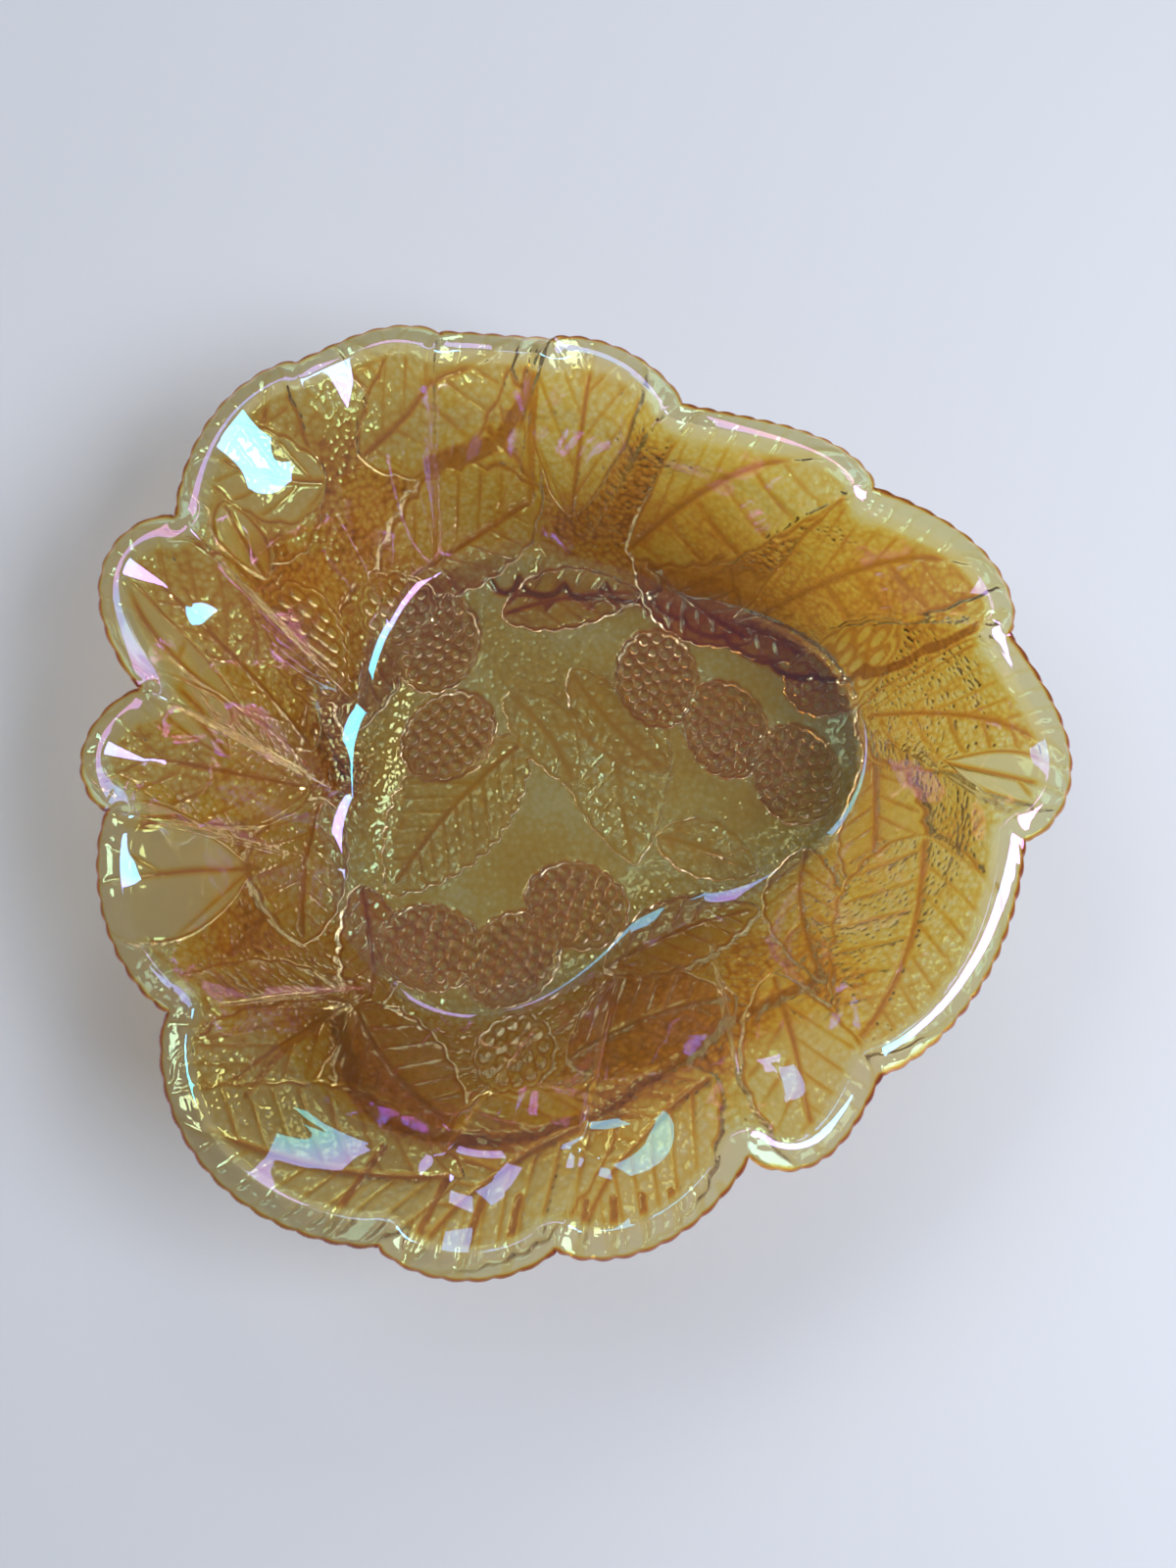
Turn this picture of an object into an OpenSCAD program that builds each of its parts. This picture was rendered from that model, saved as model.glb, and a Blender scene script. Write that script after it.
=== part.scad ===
// Pressed glass fruit bowl: a three-cornered well under a ring of swirling leaves with a rolled lip.
// The origin lies on the table plane, below the middle of the rim's outer box.

/* [Overall] */
// Nominal radius of the leaf rim
rim_r = 120; // [95:1:160]
// Height of the rim's crest where two leaves meet
rim_h = 63; // [56:1:90]

/* [Well] */
// Mean radius of the flat floor
well_r = 63; // [50:1:72]
// How far the three corners stand out, as a share of the mean radius
well_corner = 0.17; // [0:0.01:0.2]
// How far the floor is drawn out towards the right corner, as a share of the mean radius
well_oval = 0.14; // [0:0.01:0.15]
// Distance from the middle of the rim to the middle of the floor
well_shift = 13; // [0:1:18]
// Thickness of the floor slab
floor_t = 5; // [3:0.5:8]
// Height of the resting land below the slab
land_h = 1.8; // [1.5:0.1:4]
// Width of the bare floor between the land and the wall
land_inset = 9; // [5:1:15]

/* [Wall and brim] */
// Glass thickness, measured square to the wall
wall_t = 4.5; // [3:0.5:6]
// Height of the shoulder, where the wall turns out into the leaves
shoulder_h = 48; // [30:1:50]
// Share of the way from floor to rim at which the shoulder stands
shoulder_at = 0.6; // [0.45:0.01:0.7]
// Roundness of the turn from floor to wall, as a share of the way to the rim
fillet_at = 0.22; // [0.08:0.01:0.25]
// Softness of the turn at the shoulder
shoulder_soft = 5; // [1:1:10]
// Share of the way from floor to rim at which the crest of the lip stands
lip_at = 0.88; // [0.8:0.01:0.92]
// How far the lip falls from its crest to the edge
lip_drop = 3; // [0:0.5:4]
// How much higher the edges of a leaf stand than its middle
leaf_cup = 3.5; // [0:0.5:6]
// Turn of the leaves about the bowl between the floor and the rim, in degrees
swirl = 22; // [0:1:30]

/* [Berries] */
// Radius of the round field that holds one berry
berry_r = 10; // [8:0.5:11]
// Radius of one drupelet
drupelet_r = 1.9; // [1.2:0.1:1.9]
// Gap between the lowest drupelets and the table
berry_gap = 0.2; // [0.1:0.1:0.5]
// Width of the groove between a berry and the resting land
berry_groove = 1.5; // [1:0.5:3]
// Gap between neighbouring drupelets
drupelet_gap = 0.2; // [0:0.1:0.6]
// Least thickness of the skin that joins the drupelets of one berry
berry_skin = 0.5; // [0.3:0.1:0.8]

/* [Hidden] */

// One row per leaf, counter-clockwise from the right: the angle and the radius of the notch it
// starts at, how far the leaf swells past the line between its notches, and where it swells most,
// counted back from its far notch. Radii and swells are shares of the rim radius.
LEAVES = [
    [-9, 0.895, 0.09, 0.62],
    [18, 0.925, 0.068, 0.6],
    [44, 0.86, 0.04, 0.7],
    [74, 0.815, 0.052, 0.5],
    [93, 0.93, 0.012, 0.4],
    [107, 0.985, 0.042, 0.62],
    [124, 1.055, 0.066, 0.55],
    [147, 0.98, 0.125, 0.57],
    [169, 0.89, 0.085, 0.5],
    [185, 0.925, 0.052, 0.5],
    [211, 0.91, 0.1, 0.56],
    [248, 0.97, 0.05, 0.5],
    [268, 0.905, 0.056, 0.55],
    [294, 0.81, 0.066, 0.62],
    [315, 0.83, 0.036, 0.55]
];

// One row per berry: its direction from the middle of the floor, and how far out it sits on the
// way to the floor's edge.
BERRIES = [
    [47, 0.54], [13, 0.54], [-3, 0.79],
    [270, 0.68], [252, 0.8], [232, 0.85],
    [168, 0.64], [139, 0.82]
];

LEAF_COUNT = len(LEAVES);
THIRD = LEAF_COUNT / 3;     // leaves above each third of the wall
ARC_STEPS = 8;              // plan segments along one leaf
WALL_ROWS = 7;              // rows of facets from the floor to the shoulder
LEAF_ROWS = 3;              // rows of facets from the shoulder to the crest
LIP_ROWS = 3;               // rows of facets from the crest to the edge
LIP_ROUND = 1.6;            // above 1, the lip leaves its crest level and steepens to the edge
LAND_STEPS = 180;           // plan segments round the resting land
WELL_CORNER_TURN = 3;       // direction of the right corner of the floor
WELL_OVAL_TURN = 25;        // direction in which the floor is drawn out
LEAF_BLUNTNESS = 0.7;       // below 1, a leaf's outline leaves its notches steeply
CUT = 30;                   // more than any berry measures

floor_top = land_h + floor_t;
drupelet_pitch = 2 * drupelet_r + drupelet_gap;
drupelet_rings = floor((berry_r - drupelet_r) / drupelet_pitch);
drupelet_z = berry_gap + drupelet_r;
skin_z = min(land_h - berry_skin, drupelet_z);

// Blends two heights into one, taking the lower one with a rounded change of slope.
function soft_min(a, b, soft) = (a + b - sqrt((a - b) * (a - b) + soft * soft)) / 2;

function smooth(x) =
    let (c = min(1, max(0, x)))
    c * c * (3 - 2 * c);

// --- Plan: the rim -----------------------------------------------------------------------------

function leaf_start(k) = LEAVES[k % LEAF_COUNT][0] + (k >= LEAF_COUNT ? 360 : 0);
function leaf_angle(k, f) = leaf_start(k) + f * (leaf_start(k + 1) - leaf_start(k));

function leaf_swell(k, f) =
    let (power = ln(0.5) / ln(LEAVES[k][3]))
    LEAVES[k][2] * pow(max(0, sin(180 * pow(1 - f, power))), LEAF_BLUNTNESS);

function rim_radius(k, f) =
    let (near = LEAVES[k][1], far = LEAVES[(k + 1) % LEAF_COUNT][1])
    rim_r * (near + (far - near) * f + leaf_swell(k, f));

function raw_rim(k, f) =
    rim_radius(k, f) * [cos(leaf_angle(k, f)), sin(leaf_angle(k, f))];

RAW_RIM = [for (k = [0:LEAF_COUNT - 1], i = [0:ARC_STEPS - 1]) raw_rim(k, i / ARC_STEPS)];
RAW_X = [for (p = RAW_RIM) p[0]];
RAW_Y = [for (p = RAW_RIM) p[1]];
rim_middle = [(min(RAW_X) + max(RAW_X)) / 2, (min(RAW_Y) + max(RAW_Y)) / 2];

function rim_point(k, f) = raw_rim(k, f) - rim_middle;

// --- Plan: the floor ---------------------------------------------------------------------------

well_middle = [0, well_shift] - rim_middle;

function well_radius(a) =
    well_r * (1 + well_corner * cos(3 * (a - WELL_CORNER_TURN))
                + well_oval * cos(2 * (a - WELL_OVAL_TURN)));

function well_point(a) = well_middle + well_radius(a) * [cos(a), sin(a)];

// A point on the bowl in plan: leaf k, fraction f along it, share t of the way from floor to rim.
function plan_point(k, f, t) =
    (1 - t) * well_point(leaf_angle(k, f) + swirl) + t * rim_point(k, f);

function plan_span(k, f) = norm(rim_point(k, f) - well_point(leaf_angle(k, f) + swirl));

// --- Section -----------------------------------------------------------------------------------

WALL_RISE = (shoulder_h - floor_top)
    / (sqrt(shoulder_at * shoulder_at + fillet_at * fillet_at) - fillet_at);

function wall_z(t) = floor_top + WALL_RISE * (sqrt(t * t + fillet_at * fillet_at) - fillet_at);

// Share of the way from the shoulder to the crest, below 0 on the wall.
function brim_share(t) = (t - shoulder_at) / (lip_at - shoulder_at);

function brim_z(t) =
    shoulder_h + (rim_h - leaf_cup - shoulder_h) * min(1, brim_share(t))
    - lip_drop * pow(max(0, t - lip_at) / (1 - lip_at), LIP_ROUND);

function section_z(t) = soft_min(wall_z(t), brim_z(t), shoulder_soft * t / shoulder_at);

function cup_z(f, t) = leaf_cup * pow(2 * f - 1, 2) * smooth(brim_share(t));

function section_slope(t) = (section_z(t + 0.01) - section_z(t - 0.01)) / 0.02;

// Height of the inner surface, which the food lies on.
function inner_z(k, f, t) = section_z(t) + cup_z(f, t);

// Height of the outer surface, a glass thickness away square to the section.
function outer_z(k, f, t) =
    let (slope = section_slope(t) / plan_span(k, f))
    inner_z(k, f, t) - (floor_t + (wall_t - floor_t) * t) * sqrt(1 + slope * slope);

// --- Shell panels ------------------------------------------------------------------------------

function quad(a, b, c, d) = [[a, b, c], [a, c, d]];

// Shares of the way out at the edges of a number of equal rows.
function row_shares(from, to, rows) = [for (j = [0:rows]) from + (to - from) * j / rows];

WALL_SHARES = row_shares(0, shoulder_at, WALL_ROWS);
LIP_SHARES = row_shares(lip_at, 1, LIP_ROWS);
LEAF_SHARES = concat(
    row_shares(shoulder_at, lip_at, LEAF_ROWS),
    [for (j = [1:LIP_ROWS]) LIP_SHARES[j]]
);

// A solid panel of the shell over leaves k0 to k1, with a row of facets between each two shares.
module shell_panel(k0, k1, shares) {
    rows = len(shares) - 1;
    cols = (k1 - k0 + 1) * ARC_STEPS;
    spots = [
        for (i = [0:cols])
            let (k = min(k1, k0 + floor(i / ARC_STEPS)))
            [k, (i - (k - k0) * ARC_STEPS) / ARC_STEPS]
    ];
    inner = [
        for (s = spots, t = shares)
            let (p = plan_point(s[0], s[1], t))
            [p[0], p[1], inner_z(s[0], s[1], t)]
    ];
    outer = [
        for (s = spots, t = shares)
            let (p = plan_point(s[0], s[1], t))
            [p[0], p[1], outer_z(s[0], s[1], t)]
    ];
    line = rows + 1;
    below = (cols + 1) * line;
    faces = [
        for (i = [0:cols - 1], j = [0:rows - 1])
            let (a = i * line + j, b = a + line)
            each concat(
                quad(a, b, b + 1, a + 1),
                quad(below + a, below + a + 1, below + b + 1, below + b)
            ),
        for (i = [0:cols - 1])
            let (a = i * line, b = a + line)
            each concat(
                quad(a, below + a, below + b, b),
                quad(a + rows, b + rows, below + b + rows, below + a + rows)
            ),
        for (j = [0:rows - 1])
            let (a = j, b = cols * line + j)
            each concat(
                quad(a, a + 1, below + a + 1, below + a),
                quad(b, below + b, below + b + 1, b + 1)
            )
    ];
    polyhedron(points = concat(inner, outer), faces = faces, convexity = 6);
}

module wall_third(index) {
    color("goldenrod")
        shell_panel(index * THIRD, index * THIRD + THIRD - 1, WALL_SHARES);
}

module leaf(index) {
    color("khaki")
        shell_panel(index, index, LEAF_SHARES);
}

// --- Floor and underside -----------------------------------------------------------------------

module well_floor() {
    outline = [
        for (k = [0:LEAF_COUNT - 1], i = [0:ARC_STEPS - 1])
            well_point(leaf_angle(k, i / ARC_STEPS) + swirl)
    ];
    color("palegoldenrod")
        translate([0, 0, land_h])
            linear_extrude(height = floor_t)
                polygon(outline);
}

function berry_reach(i) = BERRIES[i][1] * well_radius(BERRIES[i][0]);

function berry_middle(i) =
    well_middle + berry_reach(i) * [cos(BERRIES[i][0]), sin(BERRIES[i][0])];

// Distance from the middle of the floor, in direction a, at which berry i's groove begins.
function groove_entry(i, a) =
    let (off = a - BERRIES[i][0])
    let (aside = berry_reach(i) * sin(off))
    let (keep = berry_r + berry_groove)
    cos(off) > 0 && abs(aside) < keep
        ? berry_reach(i) * cos(off) - sqrt(keep * keep - aside * aside)
        : well_radius(a);

function land_radius(a) =
    min([well_radius(a) - land_inset, for (i = [0:len(BERRIES) - 1]) groove_entry(i, a)]);

module resting_land() {
    outline = [
        for (i = [0:LAND_STEPS - 1])
            let (a = 360 * i / LAND_STEPS)
            well_middle + land_radius(a) * [cos(a), sin(a)]
    ];
    color("wheat")
        linear_extrude(height = land_h)
            polygon(outline);
}

// A berry on the underside: rings of drupelets under a skin that meets the floor slab.
module berry(index) {
    at = berry_middle(index);
    color("darkorange")
        translate([at[0], at[1], 0]) {
            translate([0, 0, skin_z])
                cylinder(r = berry_r, h = land_h - skin_z, $fn = 64);
            intersection() {
                for (ring = [0:drupelet_rings])
                    let (count = max(1, 6 * ring))
                        for (n = [0:count - 1])
                            rotate([0, 0, 360 * n / count])
                                translate([ring * drupelet_pitch, 0, drupelet_z])
                                    sphere(r = drupelet_r, $fn = 32);
                translate([-CUT / 2, -CUT / 2, 0])
                    cube([CUT, CUT, (skin_z + land_h) / 2]);
            }
        }
}

well_floor();
resting_land();
wall_third(0);  // wall_right
wall_third(1);  // wall_back
wall_third(2);  // wall_front
leaf(0);  // leaf_01
leaf(1);  // leaf_02
leaf(2);  // leaf_03
leaf(3);  // leaf_04
leaf(4);  // leaf_05
leaf(5);  // leaf_06
leaf(6);  // leaf_07
leaf(7);  // leaf_08
leaf(8);  // leaf_09
leaf(9);  // leaf_10
leaf(10);  // leaf_11
leaf(11);  // leaf_12
leaf(12);  // leaf_13
leaf(13);  // leaf_14
leaf(14);  // leaf_15
berry(0);  // berry_right_1
berry(1);  // berry_right_2
berry(2);  // berry_right_3
berry(3);  // berry_front_1
berry(4);  // berry_front_2
berry(5);  // berry_front_3
berry(6);  // berry_left_1
berry(7);  // berry_left_2
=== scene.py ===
"""Looks of the pressed carnival glass bowl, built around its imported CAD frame.

Lengths inside the classes are millimetres, and a mesh is scaled to metres when it is placed.
Plan points are (x, y) as the bowl is looked down into, with the origin below the middle of its rim.
"""

import logging
import math
from dataclasses import dataclass, field
from enum import Enum

import bpy
import numpy as np
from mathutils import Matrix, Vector
from mathutils.kdtree import KDTree

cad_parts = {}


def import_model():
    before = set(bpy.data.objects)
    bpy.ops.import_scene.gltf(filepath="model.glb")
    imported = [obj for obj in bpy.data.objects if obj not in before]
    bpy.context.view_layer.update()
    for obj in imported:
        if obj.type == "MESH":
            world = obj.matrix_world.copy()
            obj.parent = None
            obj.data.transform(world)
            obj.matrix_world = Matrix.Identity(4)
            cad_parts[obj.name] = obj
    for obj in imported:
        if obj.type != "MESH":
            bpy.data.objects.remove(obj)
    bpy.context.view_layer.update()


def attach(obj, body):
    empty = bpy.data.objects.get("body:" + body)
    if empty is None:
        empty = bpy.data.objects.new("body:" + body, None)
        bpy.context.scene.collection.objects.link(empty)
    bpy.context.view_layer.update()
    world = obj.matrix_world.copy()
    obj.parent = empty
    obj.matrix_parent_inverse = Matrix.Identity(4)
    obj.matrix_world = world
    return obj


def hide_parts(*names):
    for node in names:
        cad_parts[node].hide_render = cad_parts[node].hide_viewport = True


Array = np.ndarray
Plan = tuple[float, float]

MM = 0.001
# Keeps the last turn inside its leaf, and a comparison clear of rounding.
HAIR = 1e-9
log = logging.getLogger("bowl")


# --- Small maths ---------------------------------------------------------------------------------


def smooth(x: Array) -> Array:
    """Returns x eased from 0 to 1, level at both ends."""
    c = np.clip(x, 0.0, 1.0)
    return c * c * (3.0 - 2.0 * c)


def ridge(distance: Array, width: float) -> Array:
    """Returns the height, 1 at the middle, of a rounded ridge of a half width."""
    return np.exp(-np.square(distance / width))


def mix(a: Array, b: Array, share: Array) -> Array:
    """Returns a where share is 0 and b where it is 1."""
    return a + (b - a) * share


def polar(angle: float, radius: float) -> Plan:
    """Returns the plan point at an angle in degrees and a radius from the middle of the rim."""
    turn = math.radians(angle)
    return (radius * math.cos(turn), radius * math.sin(turn))


def value_noise(x: Array, y: Array, cell: float, seed: int) -> Array:
    """Smooth lattice noise.

    Args:
        x: Plan x of each point.
        y: Plan y of each point.
        cell: Size of one lattice cell.
        seed: Seed of the lattice values.

    Returns:
        A value from 0 to 1 at each point.
    """
    table = np.random.default_rng(seed).random((64, 64))
    u, v = x / cell + 1000.0, y / cell + 1000.0
    i, j = np.floor(u).astype(int), np.floor(v).astype(int)
    a, b = smooth(u - i), smooth(v - j)
    i0, i1, j0, j1 = i % 64, (i + 1) % 64, j % 64, (j + 1) % 64
    low = mix(table[i0, j0], table[i1, j0], a)
    high = mix(table[i0, j1], table[i1, j1], a)
    return mix(low, high, b)


def polyline_distance(x: Array, y: Array, line: tuple[Plan, ...]) -> Array:
    """Returns each point's distance from a polyline in plan."""
    nearest = np.full(x.shape, np.inf)
    for (ax, ay), (bx, by) in zip(line[:-1], line[1:]):
        dx, dy = bx - ax, by - ay
        share = np.clip(((x - ax) * dx + (y - ay) * dy) / (dx * dx + dy * dy), 0.0, 1.0)
        gap = np.hypot(x - ax - share * dx, y - ay - share * dy)
        nearest = np.minimum(nearest, gap)
    return nearest


# --- The form, as the CAD gives it ---------------------------------------------------------------


@dataclass(frozen=True)
class RimLobe:
    """Outline of one rim leaf, counter-clockwise from its first notch.

    Attributes:
        angle: Direction of the notch it starts at, in degrees.
        reach: Radius of that notch, as a share of the rim's.
        swell: How far it stands past the line between its notches, as a share of the rim radius.
        peak: Where it swells most, counted back from its far notch.
    """

    angle: float
    reach: float
    swell: float
    peak: float


RIM_LOBES = (
    RimLobe(-9, 0.895, 0.09, 0.62),
    RimLobe(18, 0.925, 0.068, 0.6),
    RimLobe(44, 0.86, 0.04, 0.7),
    RimLobe(74, 0.815, 0.052, 0.5),
    RimLobe(93, 0.93, 0.012, 0.4),
    RimLobe(107, 0.985, 0.042, 0.62),
    RimLobe(124, 1.055, 0.066, 0.55),
    RimLobe(147, 0.98, 0.125, 0.57),
    RimLobe(169, 0.89, 0.085, 0.5),
    RimLobe(185, 0.925, 0.052, 0.5),
    RimLobe(211, 0.91, 0.1, 0.56),
    RimLobe(248, 0.97, 0.05, 0.5),
    RimLobe(268, 0.905, 0.056, 0.55),
    RimLobe(294, 0.81, 0.066, 0.62),
    RimLobe(315, 0.83, 0.036, 0.55),
)


@dataclass(frozen=True)
class BerrySpot:
    """Place of one berry of the underside, from the middle of the floor.

    Attributes:
        name: Name of its CAD node.
        angle: Direction in degrees.
        share: How far out it sits, as a share of the way to the floor's edge.
        lean: Direction in degrees of its long axis.
    """

    name: str
    angle: float
    share: float
    lean: float


BERRY_SPOTS = (
    BerrySpot("berry_right_1", 47, 0.54, 100),
    BerrySpot("berry_right_2", 13, 0.54, 110),
    BerrySpot("berry_right_3", -3, 0.79, 100),
    BerrySpot("berry_front_1", 270, 0.68, 160),
    BerrySpot("berry_front_2", 252, 0.80, 45),
    BerrySpot("berry_front_3", 232, 0.85, 170),
    BerrySpot("berry_left_1", 168, 0.64, 45),
    BerrySpot("berry_left_2", 139, 0.82, 70),
)


@dataclass(frozen=True)
class BowlForm:
    """The bowl's smooth form: a shell between two height fields over the plan.

    A point of the shell has a turn, which is its leaf number plus the fraction along that leaf,
    and a share of the way out from the floor's edge at 0 to the rim at 1.
    """

    # Overall sizes, and the rounded-triangular floor.
    rim_r: float = 120.0
    rim_h: float = 63.0
    well_r: float = 63.0
    well_corner: float = 0.17
    well_oval: float = 0.14
    corner_turn: float = 3.0
    oval_turn: float = 25.0
    well_shift: float = 13.0
    # Glass thicknesses and the section from the floor to the rim.
    floor_t: float = 5.0
    land_h: float = 1.8
    land_inset: float = 9.0
    wall_t: float = 4.5
    shoulder_h: float = 48.0
    shoulder_at: float = 0.6
    fillet_at: float = 0.22
    shoulder_soft: float = 5.0
    lip_at: float = 0.88
    lip_drop: float = 3.0
    lip_round: float = 1.6
    lip_w: float = 6.8
    # The leaves' lie, and the berries.
    leaf_cup: float = 3.5
    swirl: float = 22.0
    blunt: float = 0.7
    berry_r: float = 10.0
    berry_groove: float = 1.5
    # The rim's edge: how far it stays inside the CAD outline, and its fine teeth.
    outline_inset: float = 0.1
    teeth: int = 131
    tooth_depth: float = 0.5
    tooth_zone: float = 3.0
    # Middle of the raw rim's box, and the mean plan distance from floor to rim.
    rim_middle: Plan = (0.234, 0.249)
    mean_span: float = 57.0

    @property
    def floor_top(self) -> float:
        """Height of the floor that the food lies on."""
        return self.land_h + self.floor_t

    @property
    def well_middle(self) -> Plan:
        """Plan point in the middle of the floor."""
        return (-self.rim_middle[0], self.well_shift - self.rim_middle[1])

    def leaf_angle(self, turn: Array) -> Array:
        """Returns the direction in degrees of a turn along the rim."""
        starts = [lobe.angle for lobe in RIM_LOBES]
        starts.append(starts[0] + 360.0)
        return np.interp(turn, np.arange(len(starts)), starts)

    def rim_point(self, turn: Array) -> Array:
        """Returns the plan points of the rim, with x and y on the last axis."""
        count = len(RIM_LOBES)
        k = np.minimum(np.floor(turn).astype(int), count - 1)
        f = turn - k
        reach = np.array([lobe.reach for lobe in RIM_LOBES])
        swell = np.array([lobe.swell for lobe in RIM_LOBES])
        power = np.array([math.log(0.5) / math.log(lobe.peak) for lobe in RIM_LOBES])
        wave = np.maximum(0.0, np.sin(math.pi * np.power(1.0 - f, power[k])))
        share = mix(reach[k], reach[(k + 1) % count], f) + swell[k] * np.power(wave, self.blunt)
        angle = np.radians(self.leaf_angle(turn))
        radius = self.rim_r * share - self.outline_inset
        return np.stack(
            [radius * np.cos(angle) - self.rim_middle[0],
             radius * np.sin(angle) - self.rim_middle[1]],
            axis=-1,
        )

    def toothed(self, plan: Array, turn: Array, edge: Array) -> Array:
        """Returns plan points drawn in between the fine teeth of the rim.

        Args:
            plan: Plan points, with x and y on the last axis.
            turn: Turn of each point.
            edge: Distance of each point from the rim.
        """
        tooth = np.abs(np.sin(np.radians(self.leaf_angle(turn)) * self.teeth / 2.0))
        draw = self.tooth_depth * (1.0 - tooth) * (1.0 - smooth(edge / self.tooth_zone))
        out = plan - np.array(self.well_middle)
        return plan - out * (draw / np.linalg.norm(out, axis=-1))[..., None]

    def well_radius(self, angle: Array) -> Array:
        """Returns the floor's radius in a direction in degrees from its middle."""
        corner = self.well_corner * np.cos(np.radians(3.0 * (angle - self.corner_turn)))
        oval = self.well_oval * np.cos(np.radians(2.0 * (angle - self.oval_turn)))
        return self.well_r * (1.0 + corner + oval)

    def well_point(self, angle: Array) -> Array:
        """Returns the plan points of the floor's edge in directions in degrees."""
        radius, turn = self.well_radius(angle), np.radians(angle)
        return np.stack(
            [self.well_middle[0] + radius * np.cos(turn),
             self.well_middle[1] + radius * np.sin(turn)],
            axis=-1,
        )

    def plan_point(self, turn: Array, share: Array) -> Array:
        """Returns the plan points of the shell."""
        near = self.well_point(self.leaf_angle(turn) + self.swirl)
        return mix(near, self.rim_point(turn), share[..., None])

    def span(self, turn: Array) -> Array:
        """Returns the plan distance from the floor's edge to the rim."""
        near = self.well_point(self.leaf_angle(turn) + self.swirl)
        return np.linalg.norm(self.rim_point(turn) - near, axis=-1)

    def brim_share(self, share: Array) -> Array:
        """Returns the share of the way from the shoulder to the lip's crest."""
        return (share - self.shoulder_at) / (self.lip_at - self.shoulder_at)

    def section(self, share: Array) -> Array:
        """Returns the height of the inner surface midway along a leaf."""
        fillet = self.fillet_at
        rise = (self.shoulder_h - self.floor_top) / (math.hypot(self.shoulder_at, fillet) - fillet)
        wall = self.floor_top + rise * (np.hypot(share, fillet) - fillet)
        climb = self.rim_h - self.leaf_cup - self.shoulder_h
        fall = np.power(np.maximum(0.0, share - self.lip_at) / (1.0 - self.lip_at), self.lip_round)
        brim = self.shoulder_h + climb * np.minimum(1.0, self.brim_share(share))
        brim = brim - self.lip_drop * fall
        soft = self.shoulder_soft * share / self.shoulder_at
        return (wall + brim - np.sqrt(np.square(wall - brim) + np.square(soft))) / 2.0

    def cup(self, turn: Array, share: Array) -> Array:
        """Returns how much higher than its middle a leaf stands."""
        f = turn - np.floor(turn)
        return self.leaf_cup * np.square(2.0 * f - 1.0) * smooth(self.brim_share(share))

    def slope(self, turn: Array, share: Array) -> Array:
        """Returns the steepness of the section."""
        step = 0.01
        rise = self.section(share + step) - self.section(share - step)
        return rise / (2.0 * step) / self.span(turn)

    def berry_middle(self, spot: BerrySpot) -> Plan:
        """Returns the plan point in the middle of a berry."""
        reach = spot.share * float(self.well_radius(np.float64(spot.angle)))
        turn = math.radians(spot.angle)
        middle = self.well_middle
        return (middle[0] + reach * math.cos(turn), middle[1] + reach * math.sin(turn))

    def land_radius(self, angle: Array) -> Array:
        """Returns the radius of the resting land in directions in degrees."""
        edge = self.well_radius(angle)
        radius = edge - self.land_inset
        keep = self.berry_r + self.berry_groove
        for spot in BERRY_SPOTS:
            reach = spot.share * float(self.well_radius(np.float64(spot.angle)))
            off = np.radians(angle - spot.angle)
            aside = reach * np.sin(off)
            depth = np.sqrt(np.maximum(0.0, keep * keep - aside * aside))
            inside = (np.cos(off) > 0.0) & (np.abs(aside) < keep)
            entry = np.where(inside, reach * np.cos(off) - depth, edge)
            radius = np.minimum(radius, entry)
        return radius


# --- The pressed relief --------------------------------------------------------------------------


@dataclass(frozen=True)
class PressedLeaf:
    """One leaf cut into the mould, which stands up on the outside of the glass.

    Attributes:
        root: Plan point at which its midrib starts.
        tip: Plan point at which it ends.
        width: Half its width at the widest.
        bow: Sideways bow of the midrib, as a share of its length.
        level: How far its blade stands off the ground.
        tone: Lustre of its blade, from 0 for clear glass to 1 for the deepest orange.
        grain: Strength of the stipple on its blade.
        widest: Where along the midrib it is widest.
        pitch: Distance between side veins.
        notch: Depth of the scallops along its edge.
        lines: How much the lustre deepens along its lines.
    """

    root: Plan
    tip: Plan
    width: float
    bow: float = 0.0
    level: float = 0.4
    tone: float = 0.2
    grain: float = 0.6
    widest: float = 0.45
    pitch: float = 6.5
    notch: float = 0.8
    lines: float = 1.0


@dataclass(frozen=True)
class BerryCluster:
    """An oval cluster of drupelets.

    Attributes:
        middle: Plan point in its middle.
        lean: Direction in degrees of its long axis.
        long_r: Half its length.
        short_r: Half its width.
        pitch: Distance between neighbouring drupelets.
    """

    middle: Plan
    lean: float
    long_r: float = 13.2
    short_r: float = 10.4
    pitch: float = 3.75


@dataclass(frozen=True)
class Cord:
    """A raised line, such as a stem or the edge of a calyx.

    Attributes:
        line: Its plan points.
        width: Half its width.
        height: How far it stands up.
        tone: Lustre on it.
        bulge: Depth of the arc that each stretch is bent to, positive to the left.
    """

    line: tuple[Plan, ...]
    width: float = 0.9
    height: float = 0.5
    tone: float = 0.85
    bulge: float = 0.0

    def bent(self) -> tuple[Plan, ...]:
        """Returns the line with each stretch bent to its arc."""
        if self.bulge == 0.0:
            return self.line
        points = []
        for (ax, ay), (bx, by) in zip(self.line[:-1], self.line[1:]):
            length = math.hypot(bx - ax, by - ay)
            nx, ny = -(by - ay) / length, (bx - ax) / length
            for step in range(6):
                share = step / 6.0
                rise = self.bulge * math.sqrt(max(0.0, 1.0 - (2.0 * share - 1.0) ** 2))
                points.append((ax + (bx - ax) * share + nx * rise,
                               ay + (by - ay) * share + ny * rise))
        return tuple(points) + (self.line[-1],)


@dataclass(frozen=True)
class LustrePool:
    """A line along which the sprayed lustre ran together and lies deeper.

    Attributes:
        line: Its plan points.
        width: Half its width.
        strength: How much of the way to the deepest lustre it goes.
    """

    line: tuple[Plan, ...]
    width: float
    strength: float


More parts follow.
